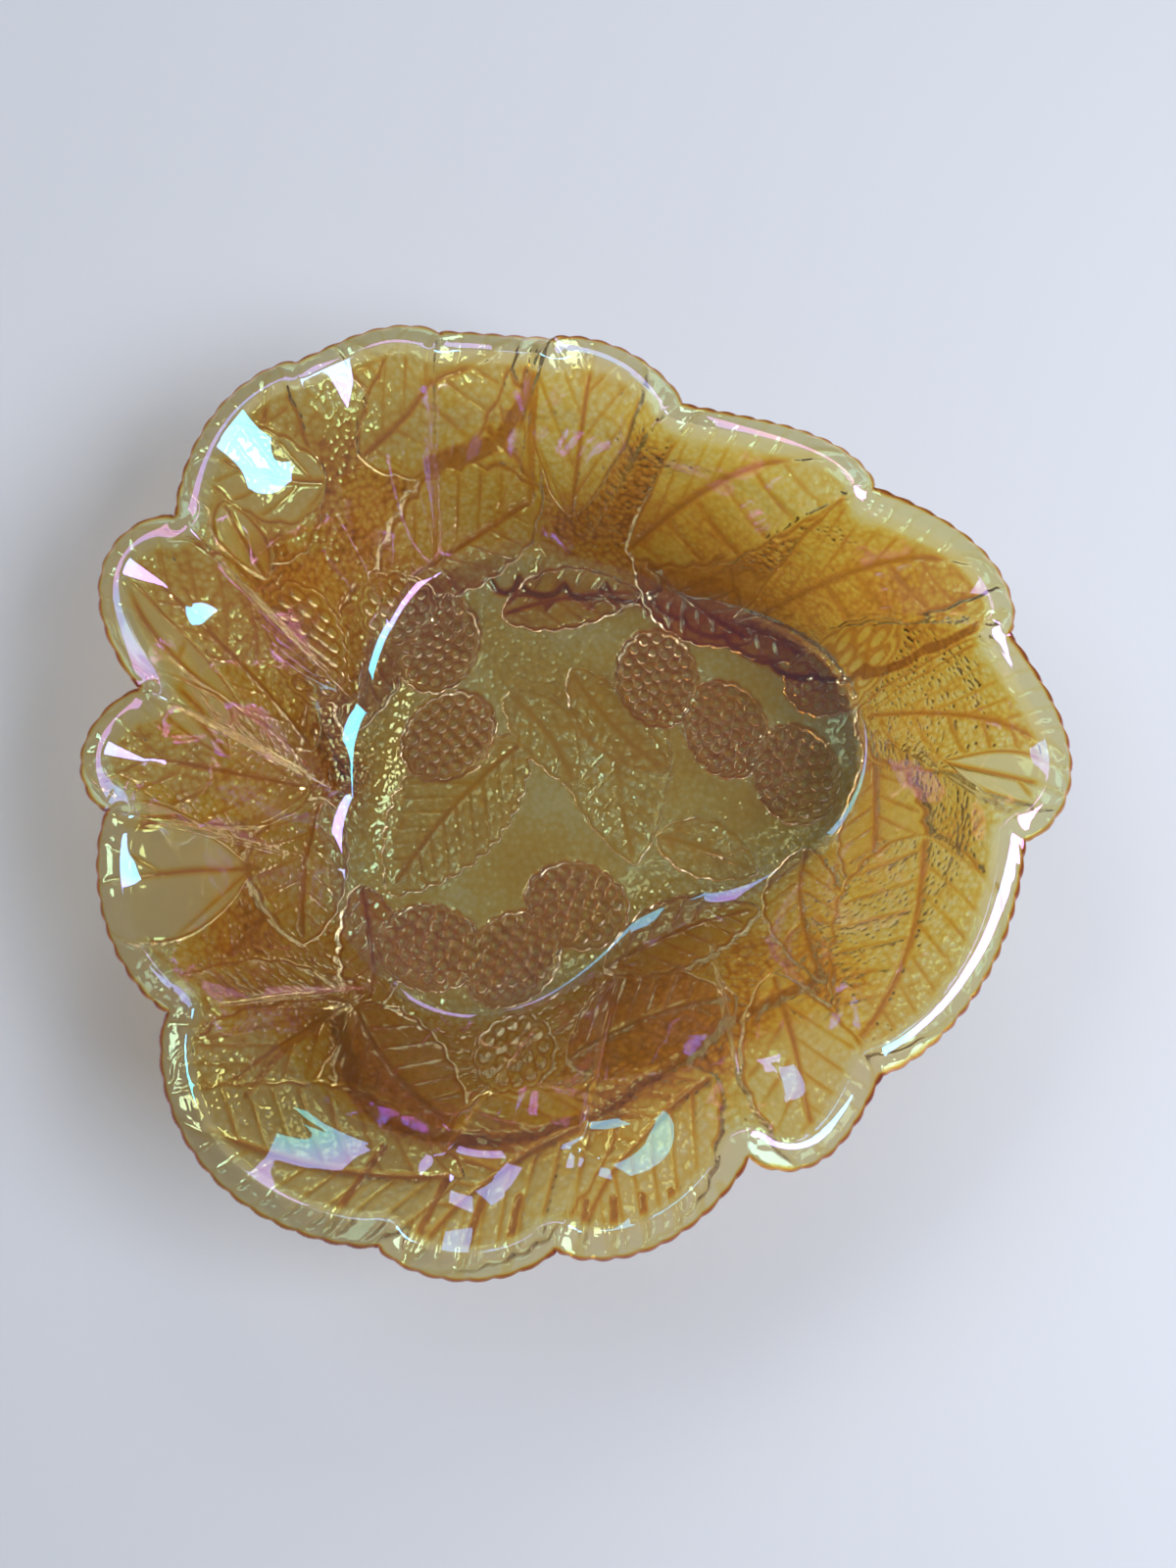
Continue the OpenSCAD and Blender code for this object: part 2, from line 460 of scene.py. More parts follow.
FLOOR_LEAVES = (
    PressedLeaf((11, 36), (16, -16), 15, -0.04, 0.25, 0.1, 0.7, 0.4, 7.0, 0.8, 0.4),
    PressedLeaf((-14, 20), (-52, -24), 15, -0.05, 0.3, 0.16, 0.5, 0.5, 5.5, 1.4, 0.55),
    PressedLeaf((22, -8), (50, -19), 8, 0.05, 0.3, 0.14, 0.6, 0.45, 6.5, 0.8, 0.4),
    PressedLeaf((-2, 40), (26, 10), 8, -0.06, 0.45, 0.2, 0.6, 0.45, 6.5, 0.8, 0.4),
    PressedLeaf((-20, 33), (-1, 6), 8, 0.08, 0.4, 0.14, 0.6, 0.45, 6.5, 0.8, 0.4),
)

WALL_LEAVES = (
    PressedLeaf((-22, 56), (18, 62), 9, 0.06, 0.35, 0.3, 0.4),
    PressedLeaf((-60, 62), (-66, 20), 10, 0.08, 0.35, 0.55, 0.7),
    PressedLeaf((-72, 2), (-74, -40), 11, -0.06, 0.35, 0.3, 0.9),
    PressedLeaf((-60, -22), (-58, -60), 9, 0.06, 0.35, 0.4, 0.6),
    PressedLeaf((-60, -56), (-24, -86), 12, -0.10, 0.45, 0.5, 0.4),
    PressedLeaf((-2, -70), (40, -54), 13, 0.06, 0.6, 0.68, 0.4, 0.5, 5.5),
    PressedLeaf((8, -46), (50, -30), 10, 0.05, 0.4, 0.42, 0.4),
    PressedLeaf((64, -12), (62, -50), 10, -0.05, 0.45, 0.34, 0.8),
    PressedLeaf((84, 22), (77, -31), 9, 0.05, 0.6, 0.36, 0.3, 0.6),
    PressedLeaf((30, 62), (66, 42), 9, 0.05, 0.4, 0.5, 0.3),
    PressedLeaf((17, 76), (50, 48), 11, -0.05, 0.55, 0.58, 0.3, 0.5, 5.5),
)

RIM_LEAVES = (
    PressedLeaf((-10, 88), (-62, 112), 14, -0.05, 0.4, 0.3, 0.9),
    PressedLeaf((-1, 82), (6, 118), 15, 0.0, 0.45, 0.22, 0.7, 0.5, 8.0),
    PressedLeaf((-58, 88), (-14, 112), 12, 0.06, 0.55, 0.26, 0.7, 0.5, 8.0),
    PressedLeaf((88, 8), (100, 34), 13, 0.1, 0.4, 0.3, 1.0),
    PressedLeaf((82, 26), (118, 2), 15, 0.08, 0.5, 0.28, 1.0),
    PressedLeaf((94, 5), (119, -7), 7, 0.0, 0.7, 0.06, 0.0, 0.5, 30.0),
    PressedLeaf((14, 74), (82, 76), 15, 0.10, 0.6, 0.26, 0.5, 0.5, 7.0),
    PressedLeaf((44, 54), (108, 49), 15, 0.10, 0.65, 0.42, 0.6, 0.55, 6.5),
    PressedLeaf((-84, 58), (-76, 104), 14, 0.05, 0.4, 0.3, 0.9, 0.45, 7.5),
    PressedLeaf((-66, 82), (-100, 84), 11, 0.1, 0.5, 0.14, 0.3),
    PressedLeaf((-60, 58), (-10, 88), 13, 0.05, 0.8, 0.34, 0.8, 0.55, 7.5, 1.2),
    PressedLeaf((-82, 54), (-90, 70), 5, 0.0, 0.6, 0.08, 0.0, 0.5, 30.0),
    PressedLeaf((-74, 14), (-118, 60), 17, -0.04, 0.5, 0.32, 1.0, 0.5, 8.0),
    PressedLeaf((-88, 20), (-113, 50), 6, 0.10, 0.7, 0.16, 0.0, 0.5, 30.0),
    PressedLeaf((-74, 5), (-120, 5), 16, 0.0, 0.6, 0.32, 1.0, 0.45, 8.0),
    PressedLeaf((-90, 8), (-103, 24), 5, -0.1, 0.8, 0.12, 0.0, 0.5, 30.0),
    PressedLeaf((-86, -20), (-119, -28), 17, 0.0, 0.5, 0.06, 0.0, 0.5, 30.0),
    PressedLeaf((-62, -54), (-100, -58), 14, 0.06, 0.4, 0.14, 0.9, 0.5, 6.0),
    PressedLeaf((-62, -55), (-92, -82), 13, 0.0, 0.45, 0.2, 0.9, 0.5, 6.0),
    PressedLeaf((34, -72), (-2, -112), 17, -0.08, 0.5, 0.14, 0.6, 0.5, 6.5),
    PressedLeaf((10, -82), (-38, -112), 16, -0.08, 0.6, 0.14, 0.5, 0.5, 6.5),
    PressedLeaf((-26, -94), (-96, -76), 17, 0.10, 0.75, 0.14, 0.5, 0.5, 7.0),
    PressedLeaf((91, -12), (64, -66), 16, 0.08, 0.55, 0.22, 0.8, 0.45, 8.0),
    PressedLeaf((51, -48), (56, -94), 14.5, 0.0, 0.8, 0.16, 0.5, 0.5, 7.5),
)

WALL_BERRIES = (
    BerryCluster((72, 37), 20.0, 12.0, 9.0),
    BerryCluster((-74, 42), 92.0, 14.0, 7.0),
    BerryCluster((-52, 57), 35.0, 10.0, 8.0),
    BerryCluster((-16, -68), 10.0, 9.5, 8.5),
)

CORDS = (
    Cord(((-15, 93), (-13, 83), (-9, 74), (-13, 66)), 1.3, 0.6, 0.5),
    Cord(((-9, 109), (-14, 100), (-21, 95), (-30, 93), (-40, 90)), 1.5, 0.5, 0.85),
    Cord(((-10, 107), (-12, 98), (-13, 88)), 1.2, 0.6, 0.7),
    Cord(((-25, 66), (-17, 67), (-4, 65), (8, 65), (21, 62)), 1.0, 0.6, 0.9, -4.0),
    Cord(((21, 62), (21, 70)), 1.0, 0.6, 0.9, -3.0),
    Cord(((-20, 60), (-9, 58), (3, 58), (12, 57), (20, 56)), 0.8, 0.5, 0.75, 3.2),
    Cord(((-58, 57), (-38, 61)), 0.8, 0.45, 0.55, 8.0),
    Cord(((-58, 61), (-34, 62)), 0.8, 0.45, 0.55, 10.0),
    Cord(((-108, -11), (-99, -10), (-89, -9)), 0.9, 0.5, 0.8, -1.5),
    Cord(((-89, -9), (-80, 2), (-76, 14)), 1.4, 0.6, 0.6, -1.5),
    Cord(((-88, -10), (-86, -22), (-82, -33), (-86, -43)), 1.0, 0.45, 0.8),
    Cord(((-69, -49), (-59, -54), (-69, -49)), 0.9, 0.4, 0.8, 2.5),
    Cord(((56, 41), (67, 38), (80, 38), (90, 36), (103, 39)), 1.1, 0.6, 0.95, -1.6),
    Cord(((21, 62), (30, 55), (42, 50), (56, 42)), 0.9, 0.5, 0.85, -2.0),
    Cord(((-50, -48), (-43, -60), (-29, -67), (-14, -63), (0, -57), (12, -50)),
         0.9, 0.5, 0.6, -3.0),
    Cord(((-48, -54), (-41, -65), (-28, -71), (-12, -67)), 0.8, 0.45, 0.6, -3.0),
    Cord(((-63, -57), (-58, -70), (-52, -79), (-39, -85), (-23, -87)), 1.8, 0.7, 0.95, -1.0),
    Cord(((-23, -87), (-4, -84), (15, -75), (36, -60), (62, -48)), 1.2, 0.6, 0.9, -1.5),
    Cord(((-62, -56), (-72, -66), (-78, -76)), 0.9, 0.4, 0.7),
    Cord(((-62, -56), (-76, -60), (-88, -62)), 0.8, 0.4, 0.6),
) + tuple(
    Cord((polar(turn, 100), polar(turn - 1.0, 118)), 1.0, 0.6, 0.85)
    for turn in (243, 252, 258, 263, 271, 275, 279, 283, 286, 289, 292)
)

LUSTRE_POOLS = (
    LustrePool(((-84, -48), (-61, -62), (-56, -74), (-40, -84), (-20, -88), (0, -84), (20, -76),
                (37, -64), (66, -49)), 6.0, 0.55),
    LustrePool(((-2, 82), (14, 76), (32, 74), (44, 66), (60, 56), (84, 50)), 7.0, 0.5),
    LustrePool(((20, 66), (46, 56), (70, 46), (96, 42)), 6.0, 0.4),
    LustrePool(((-80, 60), (-77, 42), (-73, 26), (-66, 10)), 7.0, 0.6),
    LustrePool(((-58, 70), (-50, 64), (-40, 64)), 6.0, 0.3),
    LustrePool(((10, -52), (36, -44), (62, -44)), 6.0, 0.35),
    LustrePool(((0, -72), (20, -66), (34, -58)), 8.0, 0.3),
    LustrePool(((84, 20), (82, 0), (77, -26)), 5.0, 0.25),
    LustrePool(((-86, -10), (-84, -30), (-80, -46)), 4.0, 0.3),
)


@dataclass
class Relief:
    """The relief at a set of plan points.

    Attributes:
        height: How far the outside stands off the mould's ground.
        lustre: Depth of the lustre's colour, from 0 to 1.
        grain: Strength of the stipple, from 0 to 1.
    """

    height: Array
    lustre: Array
    grain: Array


@dataclass(frozen=True)
class ReliefMap:
    """All that is cut into the mould, laid over one another from the lowest to the uppermost.

    Attributes:
        form: The smooth form that it lies on.
        vein_angle: Angle in degrees between the side veins and the midrib.
        rib_h: Height of a midrib.
        rib_w: Half its width.
        vein_h: Height of a side vein.
        vein_w: Half the width of a vein, and of the line round a leaf.
        edge_h: Height of the line round a leaf.
        crown_h: Height by which a blade is domed.
        drupelet_r: Radius of a drupelet.
        drupelet_h: Height of a drupelet.
        grain_h: Depth of the punched stipple.
    """

    form: BowlForm
    vein_angle: float = 48.0
    rib_h: float = 0.65
    rib_w: float = 0.85
    vein_h: float = 0.45
    vein_w: float = 0.5
    edge_h: float = 0.5
    crown_h: float = 0.35
    drupelet_r: float = 1.75
    drupelet_h: float = 0.85
    grain_h: float = 0.4

    def _lay_leaf(self, leaf: PressedLeaf, x: Array, y: Array, relief: Relief) -> None:
        """Lays one leaf over the relief so far, in place.

        Args:
            leaf: The leaf to lay.
            x: Plan x of the points.
            y: Plan y of the points.
            relief: The relief at the points, which is changed.
        """
        dx, dy = leaf.tip[0] - leaf.root[0], leaf.tip[1] - leaf.root[1]
        length = math.hypot(dx, dy)
        middle = ((leaf.root[0] + leaf.tip[0]) / 2.0, (leaf.root[1] + leaf.tip[1]) / 2.0)
        reach = length / 2.0 + leaf.width + 4.0
        near = np.flatnonzero(np.hypot(x - middle[0], y - middle[1]) < reach)
        if near.size == 0:
            return
        px, py = x[near] - leaf.root[0], y[near] - leaf.root[1]
        along = (px * dx + py * dy) / length
        share = along / length
        inside = np.clip(share, 0.0, 1.0)
        across = (py * dx - px * dy) / length - leaf.bow * length * 4.0 * inside * (1.0 - inside)
        power = math.log(0.5) / math.log(leaf.widest)
        half = leaf.width * np.power(np.maximum(0.0, np.sin(math.pi * inside ** power)), 0.75)
        scallop = leaf.notch * np.abs(np.sin(math.pi * along / (leaf.pitch * 0.9)))
        depth = (half + scallop - np.abs(across)) * 0.9
        depth = np.where((share < 0.0) | (share > 1.0), -5.0, depth)
        cover = smooth(depth / 0.6 + 0.5)

        rib = ridge(across, self.rib_w) * smooth(share / 0.04) * smooth((0.98 - share) / 0.06)
        slant = math.radians(self.vein_angle)
        side = np.where(across > 0.0, 0.5, 0.0)
        phase = (along - np.abs(across) / math.tan(slant)) / leaf.pitch + side
        off = np.abs(phase - np.floor(phase) - 0.5) * leaf.pitch * math.sin(slant)
        faint = 0.55 + 0.7 * value_noise(px, py, 5.0, 17)
        vein = ridge(off, self.vein_w) * smooth((depth - 0.8) / 1.5) * smooth((0.95 - share) / 0.1)
        vein = np.minimum(1.0, vein * faint)
        outline = ridge(depth - 0.7, self.vein_w)
        off_middle = np.square(across / np.maximum(half, 1.0))
        crown = self.crown_h * np.sqrt(np.clip(1.0 - off_middle, 0.0, 1.0))

        lines = np.maximum(self.rib_h * rib, np.maximum(self.vein_h * vein, self.edge_h * outline))
        height = leaf.level + crown + lines
        tone = np.maximum(np.maximum(0.85 * rib, 0.65 * vein), 0.85 * outline)
        lustre = leaf.tone + (0.95 - leaf.tone) * leaf.lines * tone
        grain = leaf.grain * (1.0 - np.maximum(rib, np.maximum(vein, outline)))
        relief.height[near] = mix(relief.height[near], height, cover)
        relief.lustre[near] = mix(relief.lustre[near], lustre, cover)
        relief.grain[near] = mix(relief.grain[near], grain, cover)

    def drupelets(self, cluster: BerryCluster) -> Array:
        """Returns the plan middles of a cluster's drupelets, in oval rings about one."""
        a, b = cluster.long_r - self.drupelet_r, cluster.short_r - self.drupelet_r
        rings = max(1, round((a + b) / 2.0 / (0.9 * cluster.pitch)))
        lean = math.radians(cluster.lean)
        around = np.linspace(0.0, 2.0 * math.pi, 181)
        spots = [cluster.middle]
        for ring in range(1, rings + 1):
            u, v = a * ring / rings * np.cos(around), b * ring / rings * np.sin(around)
            run = np.concatenate([[0.0], np.cumsum(np.hypot(np.diff(u), np.diff(v)))])
            count = max(5, round(run[-1] / cluster.pitch))
            marks = (np.arange(count) + 0.5 * (ring % 2)) / count * run[-1]
            us, vs = np.interp(marks, run, u), np.interp(marks, run, v)
            spots += [
                (cluster.middle[0] + p * math.cos(lean) - q * math.sin(lean),
                 cluster.middle[1] + p * math.sin(lean) + q * math.cos(lean))
                for p, q in zip(us, vs)
            ]
        return np.array(spots)

    def _lay_berry(self, cluster: BerryCluster, x: Array, y: Array, relief: Relief) -> None:
        """Lays one berry cluster over the relief so far, in place."""
        reach = cluster.long_r + 6.0
        middle = cluster.middle
        near = np.flatnonzero(np.hypot(x - middle[0], y - middle[1]) < reach)
        if near.size == 0:
            return
        spots = self.drupelets(cluster)
        gap = np.hypot(x[near, None] - spots[None, :, 0], y[near, None] - spots[None, :, 1])
        gap = gap.min(axis=1)
        r = self.drupelet_r
        cap = self.drupelet_h * smooth(1.15 - gap / r)
        collar = smooth((r + 2.0 - gap) / 0.7 + 0.5)
        outline = ridge(gap - (r + 1.3), 0.45)
        ring = smooth((gap / r - 0.4) / 0.4) * (1.0 - smooth((gap - r) / 0.5))
        height = 0.3 + cap + 0.45 * outline
        tone = np.maximum(0.26 + 0.44 * ring, 0.24 + 0.56 * outline)
        relief.height[near] = mix(relief.height[near], height, collar)
        relief.lustre[near] = mix(relief.lustre[near], tone, collar)
        relief.grain[near] = mix(relief.grain[near], 0.15, collar)

    def _lay_cord(self, cord: Cord, x: Array, y: Array, relief: Relief) -> None:
        """Lays one raised line over the relief so far, in place."""
        line = cord.bent()
        xs, ys = [p[0] for p in line], [p[1] for p in line]
        room = 4.0 * cord.width
        near = np.flatnonzero((x > min(xs) - room) & (x < max(xs) + room)
                              & (y > min(ys) - room) & (y < max(ys) + room))
        if near.size == 0:
            return
        up = ridge(polyline_distance(x[near], y[near], line), cord.width)
        relief.height[near] += cord.height * up
        relief.lustre[near] = np.maximum(relief.lustre[near], cord.tone * smooth(up * 1.6))
        relief.grain[near] *= 1.0 - 0.8 * up

    def base_tone(self, x: Array, y: Array, share: Array) -> Array:
        """Returns the lustre of the ground between the leaves.

        Args:
            x: Plan x of the points.
            y: Plan y of the points.
            share: Share of the way from the floor's edge to the rim, below 0 on the floor.

        Returns:
            The lustre at each point.
        """
        wall = smooth(share / 0.2) * (1.0 - smooth((share - 0.62) / 0.2))
        patch = value_noise(x, y, 17.0, 5) + 0.4 * value_noise(x, y, 5.5, 6) - 0.7
        return np.clip(0.1 + 0.08 * smooth(share / 0.9) + 0.36 * wall + 0.25 * patch, 0.0, 0.8)

    def sample(self, x: Array, y: Array, share: Array) -> Relief:
        """Evaluates the relief.

        Args:
            x: Plan x of the points, on one axis.
            y: Plan y of the points.
            share: Share of the way from the floor's edge to the rim, below 0 on the floor.

        Returns:
            The relief at the points.
        """
        stipple = mix(0.4, 0.85, smooth(share / 0.1 + 1.0))
        relief = Relief(np.zeros(x.shape), self.base_tone(x, y, share), stipple)
        for leaf in FLOOR_LEAVES + WALL_LEAVES + RIM_LEAVES:
            self._lay_leaf(leaf, x, y, relief)
        for spot in BERRY_SPOTS:
            middle = self.form.berry_middle(spot)
            self._lay_berry(BerryCluster(middle, spot.lean), x, y, relief)
        for cluster in WALL_BERRIES:
            self._lay_berry(cluster, x, y, relief)
        for cord in CORDS:
            self._lay_cord(cord, x, y, relief)
        for pool in LUSTRE_POOLS:
            deep = pool.strength * ridge(polyline_distance(x, y, pool.line), pool.width)
            deep = deep * (0.5 + value_noise(x, y, 9.0, 11))
            relief.lustre = relief.lustre + deep * (1.0 - relief.lustre)
        punched = value_noise(x, y, 1.5, 3) + 0.6 * value_noise(x, y, 3.1, 9) - 0.8
        relief.height += self.grain_h * punched * relief.grain
        return relief


# --- Surfaces and meshes -------------------------------------------------------------------------


class Side(Enum):
    """The slots that every piece of the bowl's glass has, in order."""

    INNER = 0
    OUTER = 1
    SEAM = 2


@dataclass
class Surface:
    """A grid of points on one face of the glass, with what its finish reads.

    Attributes:
        points: Points in millimetres, shaped columns by rows by 3.
        normals: Outward normals at the points.
        lustre: Depth of the lustre at the points.
        grain: Strength of the stipple at the points.
    """

    points: Array
    normals: Array
    lustre: Array
    grain: Array

    def part(self, c0: int, c1: int, r0: int, r1: int) -> "Surface":
        """Returns the columns c0 to c1 and the rows r0 to r1, ends included."""
        window = (slice(c0, c1 + 1), slice(r0, r1 + 1))
        return Surface(self.points[window], self.normals[window], self.lustre[window],
                       self.grain[window])


def grid_normals(points: Array, closed: bool) -> Array:
    """Normals of a grid of points by central differences.

    Args:
        points: Points shaped columns by rows by 3.
        closed: Whether the last column repeats the first.

    Returns:
        Unit normals that point up.
    """
    if closed:
        wrapped = np.concatenate([points[-2:-1], points, points[1:2]])
        along = (wrapped[2:] - wrapped[:-2])
    else:
        along = np.gradient(points, axis=0)
    out = np.gradient(points, axis=1)
    normal = np.cross(along, out)
    normal /= np.maximum(np.linalg.norm(normal, axis=-1, keepdims=True), 1e-12)
    return normal * np.where(normal[..., 2:3] < 0.0, -1.0, 1.0)


def deselect_all() -> None:
    """Leaves nothing selected, so that an operator acts only on what comes next."""
    bpy.ops.object.select_all(action="DESELECT")


def read_points(mesh: bpy.types.Mesh) -> Array:
    """Returns the mesh's vertices as rows of x, y and z."""
    flat = np.empty(len(mesh.vertices) * 3, dtype=np.float32)
    mesh.vertices.foreach_get("co", flat)
    return flat.reshape(-1, 3).astype(np.float64)


def place_points(mesh: bpy.types.Mesh, points: Array) -> None:
    """Moves the mesh's vertices to rows of x, y and z."""
    mesh.vertices.foreach_set("co", points.astype(np.float32).ravel())
    mesh.update()


def read_faces(mesh: bpy.types.Mesh, name: str, width: int = 1) -> Array:
    """Returns a property of every face, in rows when it has more than one number."""
    kind = np.int32 if name == "material_index" else np.float32
    flat = np.empty(len(mesh.polygons) * width, dtype=kind)
    mesh.polygons.foreach_get(name, flat)
    return flat.reshape(-1, width) if width > 1 else flat


def read_corners(mesh: bpy.types.Mesh) -> Array:
    """Returns the four vertices of every face, on a mesh that is all quads."""
    flat = np.empty(len(mesh.loops), dtype=np.int32)
    mesh.loops.foreach_get("vertex_index", flat)
    return flat.reshape(-1, 4)


def write_slots(mesh: bpy.types.Mesh, slots: Array) -> None:
    """Gives every face the number of its finish's slot."""
    mesh.polygons.foreach_set("material_index", slots.astype(np.int32))


def cell_middles(plan: Array) -> Array:
    """Returns the middles of the faces of a grid of plan points."""
    return (plan[:-1, :-1] + plan[1:, :-1] + plan[:-1, 1:] + plan[1:, 1:]) / 4.0


def write_attribute(mesh: bpy.types.Mesh, name: str, values: Array) -> None:
    """Writes one number a vertex as a named attribute."""
    layer = mesh.attributes.get(name) or mesh.attributes.new(name, "FLOAT", "POINT")
    layer.data.foreach_set("value", values.astype(np.float32))


def grid_sheet(name: str, columns: int, rows: int) -> bpy.types.Object:
    """Adds a flat sheet whose vertices lie at whole numbers of columns and rows.

    Args:
        name: Name of the object.
        columns: Number of faces along x.
        rows: Number of faces along y.

    Returns:
        The sheet.
    """
    deselect_all()
    bpy.ops.mesh.primitive_grid_add(x_subdivisions=columns, y_subdivisions=rows, size=2.0)
    sheet = bpy.context.object
    sheet.name = sheet.data.name = name
    points = read_points(sheet.data)
    points[:, 0] = np.rint((points[:, 0] + 1.0) * columns / 2.0)
    points[:, 1] = np.rint((points[:, 1] + 1.0) * rows / 2.0)
    place_points(sheet.data, points)
    if len(points) != (columns + 1) * (rows + 1):
        raise ValueError(f"{name}: the grid has {len(points)} vertices")
    return sheet


def extrude_selection(lift: float) -> None:
    """Extrudes the selected faces along z, in edit mode."""
    bpy.ops.mesh.extrude_region_move(TRANSFORM_OT_translate={"value": (0.0, 0.0, lift)})


def finish_mesh(piece: bpy.types.Object, normals: Array) -> None:
    """Shades a piece smooth, with the normals of the form.

    Args:
        piece: The piece.
        normals: One outward normal a vertex.
    """
    mesh = piece.data
    mesh.polygons.foreach_set("use_smooth", np.ones(len(mesh.polygons), dtype=bool))
    mesh.normals_split_custom_set_from_vertices(normals.tolist())
    mesh.update()


def press_panel(name: str, upper: Surface, lower: Surface, rim: bool) -> bpy.types.Object:
    """Makes a closed panel of glass between two grids of points.

    A flat sheet is extruded by the glass's thickness, and its two faces are pressed to shape.

    Args:
        name: Name of the piece.
        upper: The inner face.
        lower: The outer face, on the same columns and rows.
        rim: Whether the last row is the open rim, not a seam.

    Returns:
        The panel.
    """
    columns, rows = upper.points.shape[0] - 1, upper.points.shape[1] - 1
    piece = grid_sheet(name, columns, rows)
    bpy.ops.object.mode_set(mode="EDIT")
    bpy.ops.mesh.select_all(action="SELECT")
    extrude_selection(1.0)
    bpy.ops.object.mode_set(mode="OBJECT")

    mesh = piece.data
    coded = read_points(mesh)
    i, j = np.rint(coded[:, 0]).astype(int), np.rint(coded[:, 1]).astype(int)
    top = coded[:, 2] > 0.5
    place_points(mesh, np.where(top[:, None], upper.points[i, j], lower.points[i, j]) * MM)
    write_attribute(mesh, "lustre", np.where(top, upper.lustre[i, j], lower.lustre[i, j]))
    write_attribute(mesh, "grain", np.where(top, upper.grain[i, j], lower.grain[i, j]))

    corners = read_corners(mesh)
    tops = top[corners].sum(axis=1)
    slots = np.where(tops == 4, Side.INNER.value, Side.OUTER.value)
    seam = (tops == 2) & ~((j[corners] == rows).all(axis=1) & rim)
    slots = np.where(seam, Side.SEAM.value, slots)
    write_slots(mesh, slots)
    normals = np.where(top[:, None], upper.normals[i, j], lower.normals[i, j])
    make_outward(piece)
    finish_mesh(piece, normals)
    return piece


def signed_volume(mesh: bpy.types.Mesh) -> float:
    """Returns the volume inside a closed mesh, below 0 when its faces point inwards."""
    middles = read_faces(mesh, "center", 3)
    middles = middles - middles.mean(axis=0)
    flow = (middles * read_faces(mesh, "normal", 3)).sum(axis=1) * read_faces(mesh, "area")
    return float(flow.sum()) / 3.0


def make_outward(piece: bpy.types.Object) -> None:
    """Turns a closed piece's faces outwards."""
    deselect_all()
    piece.select_set(True)
    bpy.context.view_layer.objects.active = piece
    bpy.ops.object.mode_set(mode="EDIT")
    bpy.ops.mesh.select_all(action="SELECT")
    bpy.ops.mesh.normals_make_consistent(inside=False)
    bpy.ops.object.mode_set(mode="OBJECT")
    if signed_volume(piece.data) < 0.0:
        bpy.ops.object.mode_set(mode="EDIT")
        bpy.ops.mesh.flip_normals()
        bpy.ops.object.mode_set(mode="OBJECT")


# --- Finishes ------------------------------------------------------------------------------------


def linear(code: str) -> tuple[float, float, float, float]:
    """Returns a linear colour from an sRGB hex code such as #A85A1E."""
    parts = [int(code[i:i + 2], 16) / 255.0 for i in (1, 3, 5)]
    toned = [p / 12.92 if p <= 0.04045 else ((p + 0.055) / 1.055) ** 2.4 for p in parts]
    return (toned[0], toned[1], toned[2], 1.0)


def add_node(
    tree: bpy.types.NodeTree,
    kind: str,
    settings: dict[str, object] | None = None,
    inputs: dict[str | int, object] | None = None,
) -> bpy.types.Node:
    """Adds a shader node.

    Args:
        tree: The node tree.
        kind: The node's type name.
        settings: The node's own properties, by name.
        inputs: Values, or output sockets to link, by input name or number.

    Returns:
        The node.
    """
    node = tree.nodes.new(kind)
    for key, value in (settings or {}).items():
        setattr(node, key, value)
    for key, value in (inputs or {}).items():
        if isinstance(value, bpy.types.NodeSocket):
            tree.links.new(value, node.inputs[key])
        else:
            node.inputs[key].default_value = value
    return node


def blank_material(name: str) -> tuple[bpy.types.Material, bpy.types.NodeTree]:
    """Returns a new material and its node tree, with nothing in it yet."""
    material = bpy.data.materials.new(name)
    material.use_nodes = True
    material.node_tree.nodes.clear()
    return material, material.node_tree


